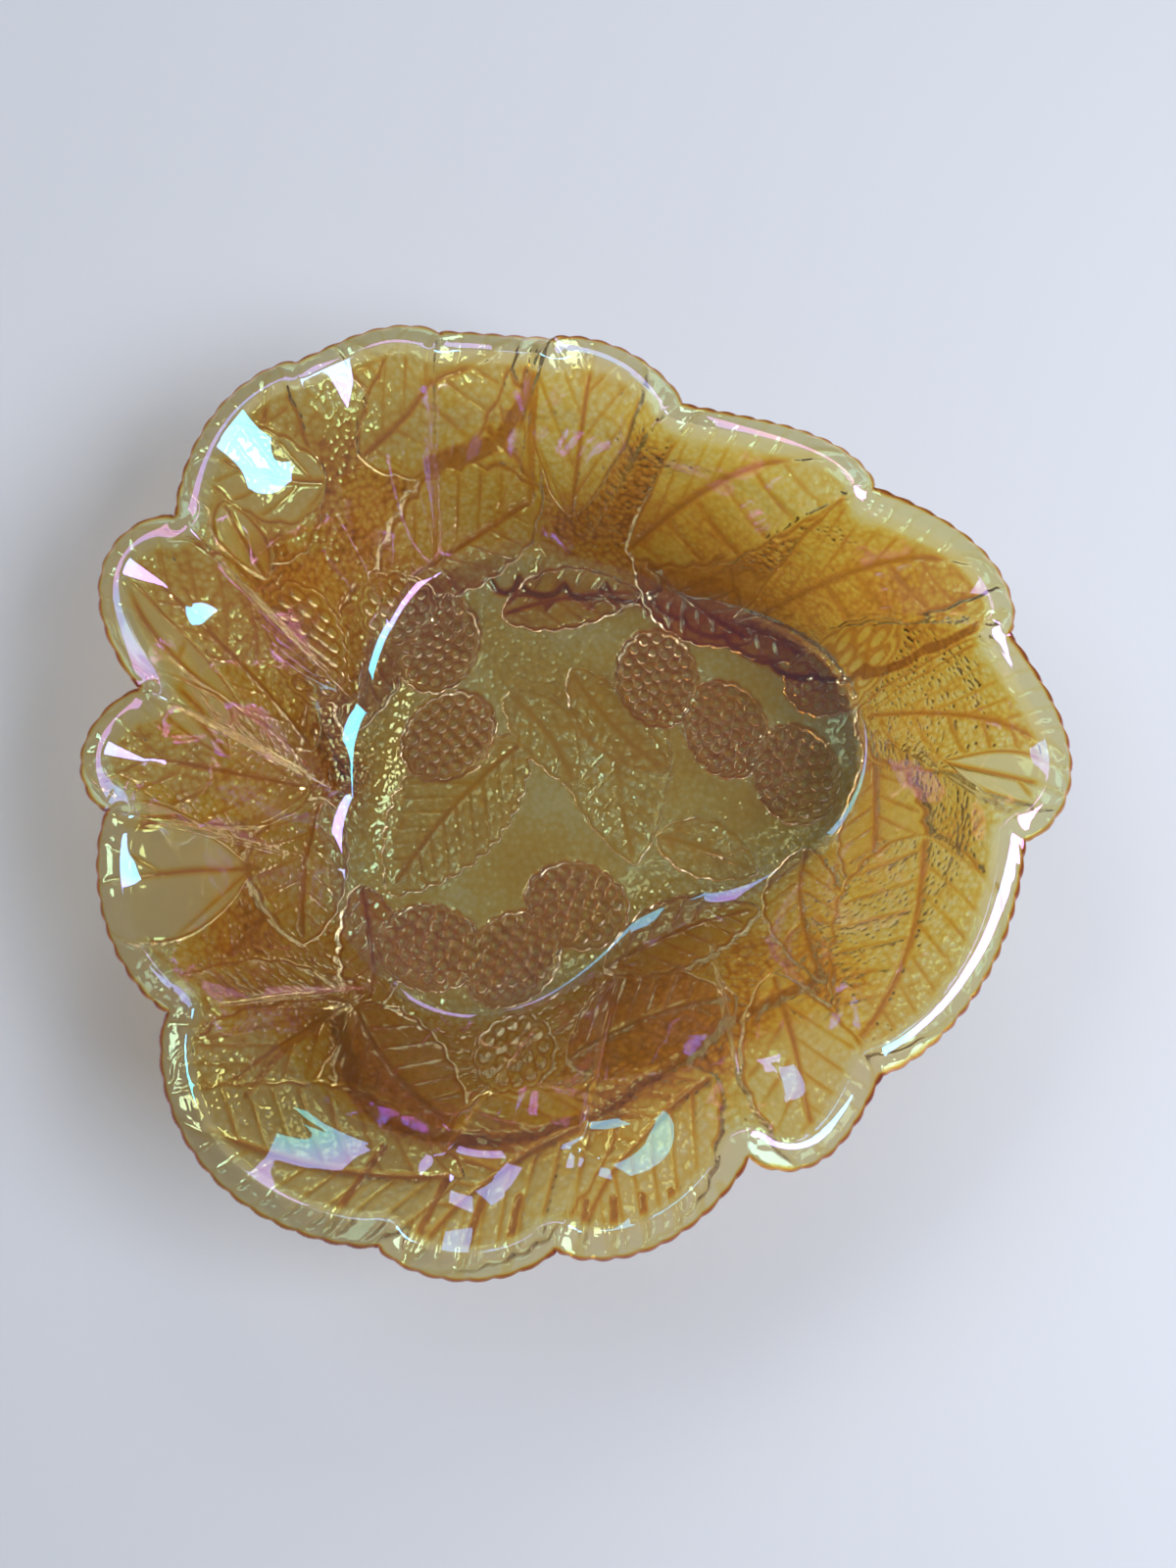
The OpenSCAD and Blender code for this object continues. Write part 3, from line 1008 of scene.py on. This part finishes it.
@dataclass(frozen=True)
class IrisedGlass:
    """Pressed soda-lime glass, sprayed hot with metal salts and left fire-polished.

    The salts leave a clear film of tin and iron oxides a few hundred nanometres thick. It colours
    the light that passes from straw to orange, and its reflections run from teal to violet.

    Attributes:
        name: Name of the material.
        tints: Colours by depth of lustre, as pairs of depth and sRGB hex code.
        film_low: Least thickness of the film in nanometres.
        film_high: Greatest thickness of the film.
        film_ior: Index of the film. Tin oxide's own is about 2, and less makes its colours fainter.
        roughness: Roughness of the fire-polished face.
        patch_mm: Size of the patches in which the film's thickness varies.
        grain_mm: Size of one dot of the stipple that was punched into the mould. The real dots
            are about 0.8 mm, too fine to show, so they are drawn twice as coarse.
        grain_depth: Depth of the stipple in millimetres, drawn through the surface's bump.
        dot_painted_glint: How much deeper the lustre's colour is drawn in the dots of the stipple.
            This is a painted glint and shade that stands in for light glinting off the stipple.
        dot_mean: Mean distance to a dot's middle, as a share of a dot's size.
        waviness: Depth in millimetres of the slow ripple of a pressed face.
        ripple_mm: Size of one wave of that ripple.
        ior: Index of the glass.
    """

    name: str
    tints: tuple[tuple[float, str], ...]
    film_low: float
    film_high: float
    film_ior: float
    roughness: float = 0.03
    patch_mm: float = 40.0
    grain_mm: float = 1.7
    grain_depth: float = 0.4
    dot_painted_glint: float = 0.75
    dot_mean: float = 0.38
    waviness: float = 0.06
    ripple_mm: float = 9.0
    ior: float = 1.52

    def material(self) -> bpy.types.Material:
        """Builds the material."""
        material, tree = blank_material(self.name)
        place = add_node(tree, "ShaderNodeTexCoord").outputs["Object"]
        lustre = add_node(tree, "ShaderNodeAttribute", {"attribute_name": "lustre"})
        grain = add_node(tree, "ShaderNodeAttribute", {"attribute_name": "grain"})

        dots = add_node(tree, "ShaderNodeTexVoronoi", {"feature": "SMOOTH_F1"}, {
            "Vector": place, "Scale": 1.0 / (self.grain_mm * MM), "Smoothness": 0.4,
        })
        about_mean = add_node(tree, "ShaderNodeMath", {"operation": "SUBTRACT"}, {
            0: dots.outputs["Distance"], 1: self.dot_mean,
        })
        relief = add_node(tree, "ShaderNodeMath", {"operation": "MULTIPLY"}, {
            0: about_mean.outputs[0], 1: grain.outputs["Fac"],
        })
        # Painted glint and shade of the stipple: the lustre's colour is mottled deeper and paler
        # across its dots, in place of light glinting off them.
        depth = add_node(tree, "ShaderNodeMath", {"operation": "MULTIPLY_ADD"}, {
            0: relief.outputs[0], 1: self.dot_painted_glint, 2: lustre.outputs["Fac"],
        })
        ramp = add_node(tree, "ShaderNodeValToRGB", None, {"Fac": depth.outputs[0]})
        stops = ramp.color_ramp.elements
        stops[0].position, stops[0].color = self.tints[0][0], linear(self.tints[0][1])
        stops[1].position, stops[1].color = self.tints[-1][0], linear(self.tints[-1][1])
        for place_on_ramp, code in self.tints[1:-1]:
            stops.new(place_on_ramp).color = linear(code)

        patches = add_node(tree, "ShaderNodeTexNoise", None, {
            "Vector": place, "Scale": 1.0 / (self.patch_mm * MM), "Detail": 2.0,
            "Roughness": 0.45, "Distortion": 0.6,
        })
        film = add_node(tree, "ShaderNodeMapRange", None, {
            "Value": patches.outputs["Fac"], "From Min": 0.3, "From Max": 0.7,
            "To Min": self.film_low, "To Max": self.film_high,
        })

        stipple = add_node(tree, "ShaderNodeBump", None, {
            "Strength": 1.0, "Distance": self.grain_depth * MM, "Height": relief.outputs[0],
        })
        ripple = add_node(tree, "ShaderNodeTexNoise", None, {
            "Vector": place, "Scale": 1.0 / (self.ripple_mm * MM), "Detail": 1.0,
        })
        face = add_node(tree, "ShaderNodeBump", None, {
            "Strength": 1.0, "Distance": self.waviness * MM, "Height": ripple.outputs["Fac"],
            "Normal": stipple.outputs["Normal"],
        })
        glass = add_node(tree, "ShaderNodeBsdfPrincipled", None, {
            "Base Color": ramp.outputs["Color"], "Roughness": self.roughness, "IOR": self.ior,
            "Transmission Weight": 1.0, "Metallic": 0.0,
            "Thin Film Thickness": film.outputs["Result"], "Thin Film IOR": self.film_ior,
            "Normal": face.outputs["Normal"],
        })
        add_node(tree, "ShaderNodeOutputMaterial", None, {"Surface": glass.outputs["BSDF"]})
        return material


@dataclass(frozen=True)
class JoinedGlass:
    """The face in which two pieces of one pressing meet, where the glass runs on unbroken."""

    name: str = "pressed_glass_run_through"

    def material(self) -> bpy.types.Material:
        """Builds the material, which lets light through unbent."""
        material, tree = blank_material(self.name)
        clear = add_node(tree, "ShaderNodeBsdfTransparent", None, {"Color": (1, 1, 1, 1)})
        add_node(tree, "ShaderNodeOutputMaterial", None, {"Surface": clear.outputs["BSDF"]})
        return material


@dataclass(frozen=True)
class MattPaper:
    """Matt paper of a studio sweep, which shows as an even pale grey."""

    name: str = "matt_paper_sweep"
    colour: str = "#C9CACC"
    roughness: float = 0.75
    fibre_mm: float = 1.5

    def material(self) -> bpy.types.Material:
        """Builds the material."""
        material, tree = blank_material(self.name)
        place = add_node(tree, "ShaderNodeTexCoord").outputs["Object"]
        fibre = add_node(tree, "ShaderNodeTexNoise", None, {
            "Vector": place, "Scale": 1.0 / (self.fibre_mm * MM), "Detail": 3.0,
        })
        bump = add_node(tree, "ShaderNodeBump", None, {
            "Strength": 0.15, "Distance": 0.05 * MM, "Height": fibre.outputs["Fac"],
        })
        paper = add_node(tree, "ShaderNodeBsdfPrincipled", None, {
            "Base Color": linear(self.colour), "Roughness": self.roughness,
            "Normal": bump.outputs["Normal"],
        })
        add_node(tree, "ShaderNodeOutputMaterial", None, {"Surface": paper.outputs["BSDF"]})
        return material


OUTER_TINTS = (
    (0.0, "#ECE6B8"),
    (0.15, "#E6CC6A"),
    (0.35, "#E0B02E"),
    (0.55, "#D68C12"),
    (0.75, "#C05A06"),
    (1.0, "#742A02"),
)
INNER_TINTS = (
    (0.0, "#F1EED0"),
    (0.3, "#E9D684"),
    (0.6, "#DFA83A"),
    (1.0, "#A4480A"),
)


@dataclass
class BowlFinishes:
    """The finishes of the bowl, in the order of its slots."""

    inner: bpy.types.Material = field(init=False)
    outer: bpy.types.Material = field(init=False)
    seam: bpy.types.Material = field(init=False)

    def __post_init__(self) -> None:
        """Builds each finish once, to be shared by all pieces."""
        self.inner = IrisedGlass(
            "carnival_glass_fire_polished_inside", INNER_TINTS, film_low=302.0, film_high=350.0,
            film_ior=1.8, grain_depth=0.0, dot_painted_glint=0.0,
        ).material()
        self.outer = IrisedGlass(
            "carnival_glass_pressed_outside", OUTER_TINTS, film_low=318.0, film_high=362.0,
            film_ior=1.7, roughness=0.05,
        ).material()
        self.seam = JoinedGlass().material()

    def dress(self, piece: bpy.types.Object) -> None:
        """Gives a piece its finishes, keeping which face has which."""
        slots = read_faces(piece.data, "material_index")
        piece.data.materials.clear()
        for material in (self.inner, self.outer, self.seam):
            piece.data.materials.append(material)
        write_slots(piece.data, slots)


# --- Sub-assemblies ------------------------------------------------------------------------------


@dataclass
class GlassAssembly:
    """Glass pieces that are enrolled with the frame and dressed together."""

    pieces: list[bpy.types.Object] = field(default_factory=list, init=False)

    def enrol(self, piece: bpy.types.Object, node: str, slot: str) -> None:
        """Hangs a piece on the frame's root and hides the CAD part that it stands for."""
        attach(piece, "root")
        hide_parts(node)
        self.pieces.append(piece)
        log.info("%s: %d faces", piece.name, len(piece.data.polygons))

    def dress(self, finishes: BowlFinishes) -> None:
        """Gives the pieces their finishes."""
        for piece in self.pieces:
            finishes.dress(piece)


@dataclass
class Shell:
    """The wall and the leaves as two surfaces on one grid, before they are parted.

    Attributes:
        form: The smooth form.
        relief: The relief of the outside.
        columns: Faces round the bowl.
        wall_rows: Faces from the floor to the shoulder.
        leaf_rows: Faces from the shoulder to near the edge.
        edge_rows: Faces over the rounding of the edge.
        edge_zone: Width of the rounding's rows.
        edge_t: Thickness of the glass at the edge.
        edge_r: Radius of the edge's rounding.
        ground_t: How much thinner than the CAD wall the ground between the leaves is.
        steepest: Steepness past which the glass is made no thicker upright.
        sag: Depth of the slow unevenness of the inside.
        sag_cell: Size of one wave of that unevenness.
    """

    form: BowlForm
    relief: ReliefMap
    columns: int = 1380
    wall_rows: int = 84
    leaf_rows: int = 62
    edge_rows: int = 10
    edge_zone: float = 2.0
    edge_t: float = 2.4
    edge_r: float = 0.8
    ground_t: float = 0.9
    steepest: float = 2.6
    sag: float = 0.35
    sag_cell: float = 14.0
    inner: Surface = field(init=False)
    outer: Surface = field(init=False)
    starts: list[int] = field(init=False)

    @property
    def last_row(self) -> int:
        """Number of the row that lies on the rim."""
        return self.wall_rows + self.leaf_rows + self.edge_rows

    def turns(self) -> Array:
        """Spreads the columns over the leaves by the length of each leaf's edge.

        Returns:
            The turn of each column, ends included, and sets the first column of each leaf.
        """
        count = len(RIM_LOBES)
        fine = np.linspace(0.0, 1.0, 401)
        lengths, marks = [], []
        for k in range(count):
            points = self.form.rim_point(np.minimum(k + fine, count - HAIR))
            steps = np.linalg.norm(np.diff(points, axis=0), axis=1)
            run = np.concatenate([[0.0], np.cumsum(steps)])
            lengths.append(run[-1])
            marks.append(0.5 * fine + 0.5 * run / run[-1])
        shares = np.array(lengths) / sum(lengths)
        self.starts, turns = [0], []
        for k in range(count):
            faces = int(round(self.columns * shares[k]))
            turns.append(k + np.interp(np.arange(faces) / faces, marks[k], fine))
            self.starts.append(self.starts[-1] + faces)
        turns.append(np.array([float(count)]))
        return np.concatenate(turns)

    def shares(self) -> Array:
        """Returns the share of each row, ends included."""
        edge = 1.0 - self.edge_zone / self.form.mean_span
        return np.concatenate([
            np.linspace(0.0, self.form.shoulder_at, self.wall_rows + 1)[:-1],
            np.linspace(self.form.shoulder_at, edge, self.leaf_rows + 1)[:-1],
            np.linspace(edge, 1.0, self.edge_rows + 1),
        ])

    def rim_distance(self, plan: Array) -> Array:
        """Returns each point's plan distance from the rim."""
        turns = np.linspace(0.0, len(RIM_LOBES) - HAIR, 5600)
        rim = self.form.rim_point(turns)
        tree = KDTree(len(rim))
        for index, point in enumerate(rim):
            tree.insert((point[0], point[1], 0.0), index)
        tree.balance()
        flat = plan.reshape(-1, 2)
        found = [tree.find((p[0], p[1], 0.0))[2] for p in flat]
        return np.array(found).reshape(plan.shape[:-1])

    def build(self) -> None:
        """Works out both surfaces."""
        form = self.form
        turn, share = np.meshgrid(self.turns(), self.shares(), indexing="ij")
        turn = np.minimum(turn, len(RIM_LOBES) - HAIR)
        plan = form.plan_point(turn, share)
        edge = np.full(share.shape, form.mean_span)
        outer_rows = share[0] > form.shoulder_at - HAIR
        edge[:, outer_rows] = self.rim_distance(plan[:, outer_rows])

        plan = form.toothed(plan, turn, edge)
        x, y = plan[..., 0], plan[..., 1]
        near_rim = 1.0 - (1.0 - form.lip_at) * edge / form.lip_w
        follow = smooth((share - form.shoulder_at - 0.02) / 0.2)
        even = mix(share, np.maximum(near_rim, form.shoulder_at + 0.02), follow)
        inner_z = form.section(even) + form.cup(turn, even)
        uneven = value_noise(x, y, self.sag_cell, 21)
        inner_z = inner_z - self.sag * uneven * smooth(share / 0.3)

        relief = self.relief.sample(x.ravel(), y.ravel(), share.ravel())
        height = relief.height.reshape(share.shape)
        steep = np.minimum(form.slope(turn, np.minimum(share, 0.82)), self.steepest)
        thick = mix(form.floor_t, form.wall_t, share) - self.ground_t + height
        depth = thick * np.sqrt(1.0 + np.square(steep))
        lip = smooth(edge / (form.lip_w + 1.5))
        depth = mix(np.full(depth.shape, self.edge_t), depth, lip)
        outer_z = inner_z - depth

        round_off = np.clip(1.0 - edge / self.edge_r, 0.0, 1.0)
        turn_in = self.edge_r * (1.0 - np.sqrt(1.0 - np.square(round_off)))
        inner_z, outer_z = inner_z - turn_in, outer_z + turn_in

        inner_points = np.stack([x, y, inner_z], axis=-1)
        outer_points = np.stack([x, y, outer_z], axis=-1)
        on_lip = 1.0 - smooth((edge - form.lip_w + 1.0) / 2.0)
        on_edge = 1.0 - smooth((edge - 0.5) / 1.2)
        lustre = relief.lustre.reshape(share.shape)
        lustre = mix(lustre, np.full(lustre.shape, 0.06), on_lip * 0.85)
        lustre = mix(lustre, np.full(lustre.shape, 0.95), on_edge)
        grain = relief.grain.reshape(share.shape) * (1.0 - on_lip)
        inner_lustre = mix(0.12 + 0.12 * smooth(share / 0.4), np.zeros(share.shape), on_lip)
        inner_lustre = mix(inner_lustre, np.full(lustre.shape, 0.9), on_edge)
        self.inner = Surface(inner_points, grid_normals(inner_points, True), inner_lustre,
                             np.zeros(share.shape))
        self.outer = Surface(outer_points, -grid_normals(outer_points, True), lustre, grain)

    def panel(self, name: str, k0: int, k1: int, rows: tuple[int, int]) -> bpy.types.Object:
        """Parts one panel from the shell.

        Args:
            name: Name of the piece.
            k0: Its first leaf.
            k1: The leaf after its last.
            rows: Its first and last row.

        Returns:
            The panel.
        """
        window = (self.starts[k0], self.starts[k1], rows[0], rows[1])
        rim = rows[1] == self.last_row
        return press_panel(name, self.inner.part(*window), self.outer.part(*window), rim)


@dataclass
class WellWall(GlassAssembly):
    """The well's wall, in the thirds that the mould's three side sections form."""

    shell: Shell

    def build(self) -> None:
        """Makes the three thirds."""
        third = len(RIM_LOBES) // 3
        rows = (0, self.shell.wall_rows)
        for index, side in enumerate(("right", "back", "front")):
            first, last = index * third, (index + 1) * third
            piece = self.shell.panel(f"well_wall_{side}", first, last, rows)
            self.enrol(piece, f"wall_{side}", "wall_glass")


@dataclass
class LeafRim(GlassAssembly):
    """The ring of leaves that makes the brim."""

    shell: Shell

    def build(self) -> None:
        """Makes the leaves."""
        rows = (self.shell.wall_rows, self.shell.last_row)
        for k in range(len(RIM_LOBES)):
            piece = self.shell.panel(f"rim_leaf_{k + 1:02d}", k, k + 1, rows)
            self.enrol(piece, f"leaf_{k + 1:02d}", "leaf_glass")


@dataclass
class WellBase(GlassAssembly):
    """The floor slab with the resting land and the berries under it.

    The underside is one relief. It is parted into the slab with its bare margin, the land, and
    the berries, and the parts meet in upright seams.

    Attributes:
        form: The smooth form.
        relief: The relief of the outside.
        faces: Faces along each side of the floor's grid.
        ground_t: Height of the ground above the land's top at the floor's edge.
        land_ground: Height of the ground in the middle of the land.
        berry_ground: Height of the ground that the berries stand on.
        snap: Distance within which the grid is drawn onto the edge of the land or of a berry.
        least_z: Least height above the table.
    """

    form: BowlForm
    relief: ReliefMap
    faces: int = 212
    ground_t: float = 0.9
    land_ground: float = 0.85
    berry_ground: float = 1.75
    snap: float = 0.25
    least_z: float = 0.03

    def underside(self, x: Array, y: Array) -> tuple[Array, Relief]:
        """Works out the underside.

        Args:
            x: Plan x of the points, on one axis.
            y: Plan y of the points.

        Returns:
            The height of the underside, and the relief there.
        """
        form = self.form
        dx, dy = x - form.well_middle[0], y - form.well_middle[1]
        angle, radius = np.degrees(np.arctan2(dy, dx)), np.hypot(dx, dy)
        edge = form.well_radius(angle) - radius
        relief = self.relief.sample(x, y, np.minimum(0.0, -edge / form.mean_span))
        rim = form.land_h + self.ground_t
        ground = mix(rim, self.land_ground, smooth((edge - 2.0) / 10.0))
        for spot in BERRY_SPOTS:
            middle = form.berry_middle(spot)
            gap = np.hypot(x - middle[0], y - middle[1])
            ground = np.maximum(ground, mix(self.berry_ground, 0.0, smooth((gap - 11.0) / 4.0)))
        return np.maximum(self.least_z, ground - relief.height), relief

    def normals(self, x: Array, y: Array) -> Array:
        """Returns the underside's outward normals."""
        step = 0.25
        east, west = self.underside(x + step, y)[0], self.underside(x - step, y)[0]
        north, south = self.underside(x, y + step)[0], self.underside(x, y - step)[0]
        tilt_x, tilt_y = (east - west) / (2 * step), (north - south) / (2 * step)
        normal = np.stack([tilt_x, tilt_y, -np.ones(x.shape)], axis=-1)
        return normal / np.linalg.norm(normal, axis=-1, keepdims=True)

    def plan(self) -> Array:
        """Lays a square grid over the floor, with its outline on the floor's edge.

        Returns:
            Plan points shaped faces + 1 by faces + 1 by 2.
        """
        form = self.form
        line = np.linspace(-1.0, 1.0, self.faces + 1)
        a, b = np.meshgrid(line, line, indexing="ij")
        wide = np.abs(a) >= np.abs(b)
        radius = np.where(wide, a, b)
        safe = np.where(np.abs(radius) < HAIR, 1.0, radius)
        quarter = math.pi / 4.0
        turn = np.where(wide, quarter * b / safe, 2.0 * quarter - quarter * a / safe)
        turn = np.where(radius < 0.0, turn + math.pi, turn)
        angle, radius = np.degrees(turn), np.abs(radius)
        reach = radius * form.well_radius(angle)
        land = form.land_radius(angle)
        reach = np.where(np.abs(reach - land) < self.snap, land, reach)
        x = form.well_middle[0] + reach * np.cos(turn)
        y = form.well_middle[1] + reach * np.sin(turn)
        for spot in BERRY_SPOTS:
            cx, cy = form.berry_middle(spot)
            gap = np.maximum(np.hypot(x - cx, y - cy), 1e-6)
            near = np.abs(gap - form.berry_r) < self.snap
            pull = np.where(near, form.berry_r / gap, 1.0)
            x, y = cx + (x - cx) * pull, cy + (y - cy) * pull
        return np.stack([x, y], axis=-1)

    def labels(self, plan: Array) -> Array:
        """Returns for each face of the grid -1 in the margin, -2 in the land, or its berry."""
        form = self.form
        middle = cell_middles(plan)
        dx, dy = middle[..., 0] - form.well_middle[0], middle[..., 1] - form.well_middle[1]
        land = np.hypot(dx, dy) < form.land_radius(np.degrees(np.arctan2(dy, dx)))
        label = np.where(land, -2, -1)
        for index, spot in enumerate(BERRY_SPOTS):
            cx, cy = form.berry_middle(spot)
            berry = np.hypot(middle[..., 0] - cx, middle[..., 1] - cy) < form.berry_r
            label = np.where(berry, index, label)
        return label

    def _sheet(self, name: str, plan: Array, keep: Array) -> bpy.types.Object:
        """Adds the floor's grid as a sheet at the height of the land, with only some faces kept."""
        sheet = grid_sheet(name, self.faces, self.faces)
        mesh = sheet.data
        cell = np.floor(read_faces(mesh, "center", 3)[:, :2]).astype(int)
        drop = ~keep[cell[:, 0], cell[:, 1]]
        coded = read_points(mesh)
        i, j = np.rint(coded[:, 0]).astype(int), np.rint(coded[:, 1]).astype(int)
        flat = np.full(len(coded), self.form.land_h)
        place_points(mesh, np.column_stack([plan[i, j], flat]) * MM)
        mesh.polygons.foreach_set("select", drop)
        mesh.update()
        bpy.ops.object.mode_set(mode="EDIT")
        bpy.ops.mesh.select_mode(type="FACE")
        if drop.any():
            bpy.ops.mesh.delete(type="FACE")
        return sheet

    def _press_underside(self, piece: bpy.types.Object, low: Array) -> None:
        """Presses the lowest vertices to the underside and finishes the piece.

        Args:
            piece: The piece, whose vertices that belong to the underside are marked by low.
            low: Whether each vertex belongs to the underside.
        """
        mesh = piece.data
        points = read_points(mesh) / MM
        x, y = points[low, 0], points[low, 1]
        z, relief = self.underside(x, y)
        points[low, 2] = z
        lustre, grain = np.zeros(len(points)), np.zeros(len(points))
        lustre[low], grain[low] = relief.lustre, relief.grain
        lustre[~low] = 0.12
        place_points(mesh, points * MM)
        write_attribute(mesh, "lustre", lustre)
        write_attribute(mesh, "grain", grain)
        normals = np.tile((0.0, 0.0, 1.0), (len(points), 1))
        normals[low] = self.normals(x, y)
        make_outward(piece)
        finish_mesh(piece, normals)

    def build(self) -> None:
        """Makes the slab, the land and the berries."""
        plan = self.plan()
        label = self.labels(plan)
        self._build_slab(plan, label)
        self._build_skin("resting_land_relief", "resting_land", "floor_glass", plan, label == -2)
        for index, spot in enumerate(BERRY_SPOTS):
            name = spot.name.replace("berry_", "berry_cluster_")
            self._build_skin(name, spot.name, "berry_glass", plan, label == index)

    def _build_slab(self, plan: Array, label: Array) -> None:
        """Makes the slab, with its bare margin pressed down past the land's top."""
        piece = self._sheet("well_floor_slab", plan, np.ones(label.shape, dtype=bool))
        bpy.ops.mesh.select_all(action="SELECT")
        extrude_selection(self.form.floor_t * MM)
        bpy.ops.object.mode_set(mode="OBJECT")
        mesh = piece.data
        middles = read_faces(mesh, "center", 3) / MM
        level = middles[:, 2]
        base = self.form.land_h
        bottom = level < base + 0.01
        top = level > base + self.form.floor_t - 0.01
        margin = bottom & (self._label_at(middles, plan, label) == -1)
        slots = np.where(top, Side.INNER.value, Side.SEAM.value)
        write_slots(mesh, slots)
        for kind in (mesh.vertices, mesh.edges):
            kind.foreach_set("select", np.zeros(len(kind), dtype=bool))
        mesh.polygons.foreach_set("select", margin)
        mesh.update()
        bpy.ops.object.mode_set(mode="EDIT")
        bpy.ops.mesh.select_mode(type="FACE")
        extrude_selection(-1.0 * MM)
        bpy.ops.object.mode_set(mode="OBJECT")
        low = read_points(mesh)[:, 2] < (base - 0.5) * MM
        self._mark_outer(mesh, low)
        self._press_underside(piece, low)
        self.enrol(piece, "well_floor", "floor_glass")

    def _label_at(self, middles: Array, plan: Array, label: Array) -> Array:
        """Returns the label of the grid face nearest to each face's middle."""
        tree = KDTree(label.size)
        for index, point in enumerate(cell_middles(plan).reshape(-1, 2)):
            tree.insert((point[0], point[1], 0.0), index)
        tree.balance()
        found = [tree.find((p[0], p[1], 0.0))[1] for p in middles]
        return label.ravel()[np.array(found)]

    def _mark_outer(self, mesh: bpy.types.Mesh, low: Array) -> None:
        """Gives the faces whose every vertex is low the outer finish."""
        slots = read_faces(mesh, "material_index")
        slots[low[read_corners(mesh)].all(axis=1)] = Side.OUTER.value
        write_slots(mesh, slots)

    def _build_skin(self, name: str, node: str, slot: str, plan: Array, keep: Array) -> None:
        """Makes one part of the underside.

        Args:
            name: Name of the piece.
            node: The CAD node that it stands for.
            slot: The record's material slot. Not used.
            plan: Plan points of the floor's grid.
            keep: The faces of the grid that it covers.
        """
        piece = self._sheet(name, plan, keep)
        bpy.ops.mesh.select_all(action="SELECT")
        extrude_selection(-1.0 * MM)
        bpy.ops.object.mode_set(mode="OBJECT")
        mesh = piece.data
        low = read_points(mesh)[:, 2] < (self.form.land_h - 0.5) * MM
        write_slots(mesh, np.full(len(mesh.polygons), Side.SEAM.value))
        self._mark_outer(mesh, low)
        self._press_underside(piece, low)
        self.enrol(piece, node, slot)


# --- Studio --------------------------------------------------------------------------------------


@dataclass(frozen=True)
class Softbox:
    """A soft rectangular light that faces the bowl.

    Attributes:
        name: Name of the light.
        azimuth: Direction from the bowl in degrees, from +X towards +Y.
        elevation: Angle above the floor in degrees.
        distance: Distance from the bowl in metres.
        size: Its width and height in metres.
        power: Its power in watts.
        tint: Its sRGB colour.
    """

    name: str
    azimuth: float
    elevation: float
    distance: float
    size: tuple[float, float]
    power: float
    tint: str = "#FFFFFF"

    def build(self) -> None:
        """Hangs the light."""
        light = bpy.data.lights.new(self.name, "AREA")
        light.shape = "RECTANGLE"
        light.size, light.size_y = self.size
        light.energy = self.power
        light.color = linear(self.tint)[:3]
        lamp = bpy.data.objects.new(self.name, light)
        bpy.context.scene.collection.objects.link(lamp)
        a, e = math.radians(self.azimuth), math.radians(self.elevation)
        out = Vector((math.cos(a) * math.cos(e), math.sin(a) * math.cos(e), math.sin(e)))
        lamp.location = out * self.distance
        lamp.rotation_euler = (-out).to_track_quat("-Z", "Y").to_euler()


@dataclass
class Studio:
    """Pale floor, soft lights, and a camera that looks down into the bowl."""

    softboxes: tuple[Softbox, ...] = (
        Softbox("key_softbox", -16.0, 48.0, 1.1, (0.7, 0.45), 13.5, "#EEF3FF"),
        Softbox("fill_softbox", 140.0, 48.0, 1.3, (0.9, 0.5), 5.5, "#E8F0FF"),
        Softbox("back_softbox", 80.0, 40.0, 1.3, (0.6, 0.4), 3.0, "#F8FAFF"),
    )
    camera_place: tuple[float, float, float] = (0.00288, -0.05555, 0.3555)
    camera_tilt: float = 10.0
    camera_lens: float = 29.25
    floor_size: float = 6.0
    world_tint: str = "#E8ECF2"
    world_strength: float = 0.2

    def build(self) -> None:
        """Sets up the studio."""
        self._build_floor()
        for softbox in self.softboxes:
            softbox.build()
        self._build_world()
        self._build_camera()
        scene = bpy.context.scene
        scene.cycles.max_bounces = 24
        scene.cycles.transmission_bounces = 20
        scene.cycles.glossy_bounces = 10
        scene.cycles.transparent_max_bounces = 48
        scene.view_settings.view_transform = "Standard"

    def _build_floor(self) -> None:
        """Lays the pale floor just below the resting land."""
        deselect_all()
        bpy.ops.mesh.primitive_plane_add(size=self.floor_size, location=(0.0, 0.0, -0.0002))
        floor = bpy.context.object
        floor.name = "studio_floor"
        bpy.ops.object.transform_apply(location=True, rotation=True, scale=True)
        floor.data.materials.append(MattPaper().material())

    def _build_world(self) -> None:
        """Gives the room its even light."""
        world = bpy.data.worlds.new("studio_room")
        world.use_nodes = True
        back = world.node_tree.nodes["Background"]
        back.inputs["Color"].default_value = linear(self.world_tint)
        back.inputs["Strength"].default_value = self.world_strength
        bpy.context.scene.world = world

    def _build_camera(self) -> None:
        """Places the camera."""
        camera = bpy.data.cameras.new("camera")
        camera.sensor_width = 36.0
        camera.lens = self.camera_lens
        camera.clip_start = 0.01
        holder = bpy.data.objects.new("camera", camera)
        holder.location = self.camera_place
        holder.rotation_euler = (math.radians(self.camera_tilt), 0.0, 0.0)
        bpy.context.scene.collection.objects.link(holder)
        bpy.context.scene.camera = holder


def main() -> None:
    """Builds the bowl and the studio around it."""
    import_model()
    form = BowlForm()
    relief = ReliefMap(form)
    finishes = BowlFinishes()

    shell = Shell(form, relief)
    shell.build()
    for assembly in (WellWall(shell), LeafRim(shell), WellBase(form, relief)):
        assembly.build()
        assembly.dress(finishes)
        log.info("%s: %d pieces", type(assembly).__name__, len(assembly.pieces))
    Studio().build()


if __name__ == "__main__":
    logging.basicConfig(level=logging.INFO, format="%(name)s: %(message)s")
    main()
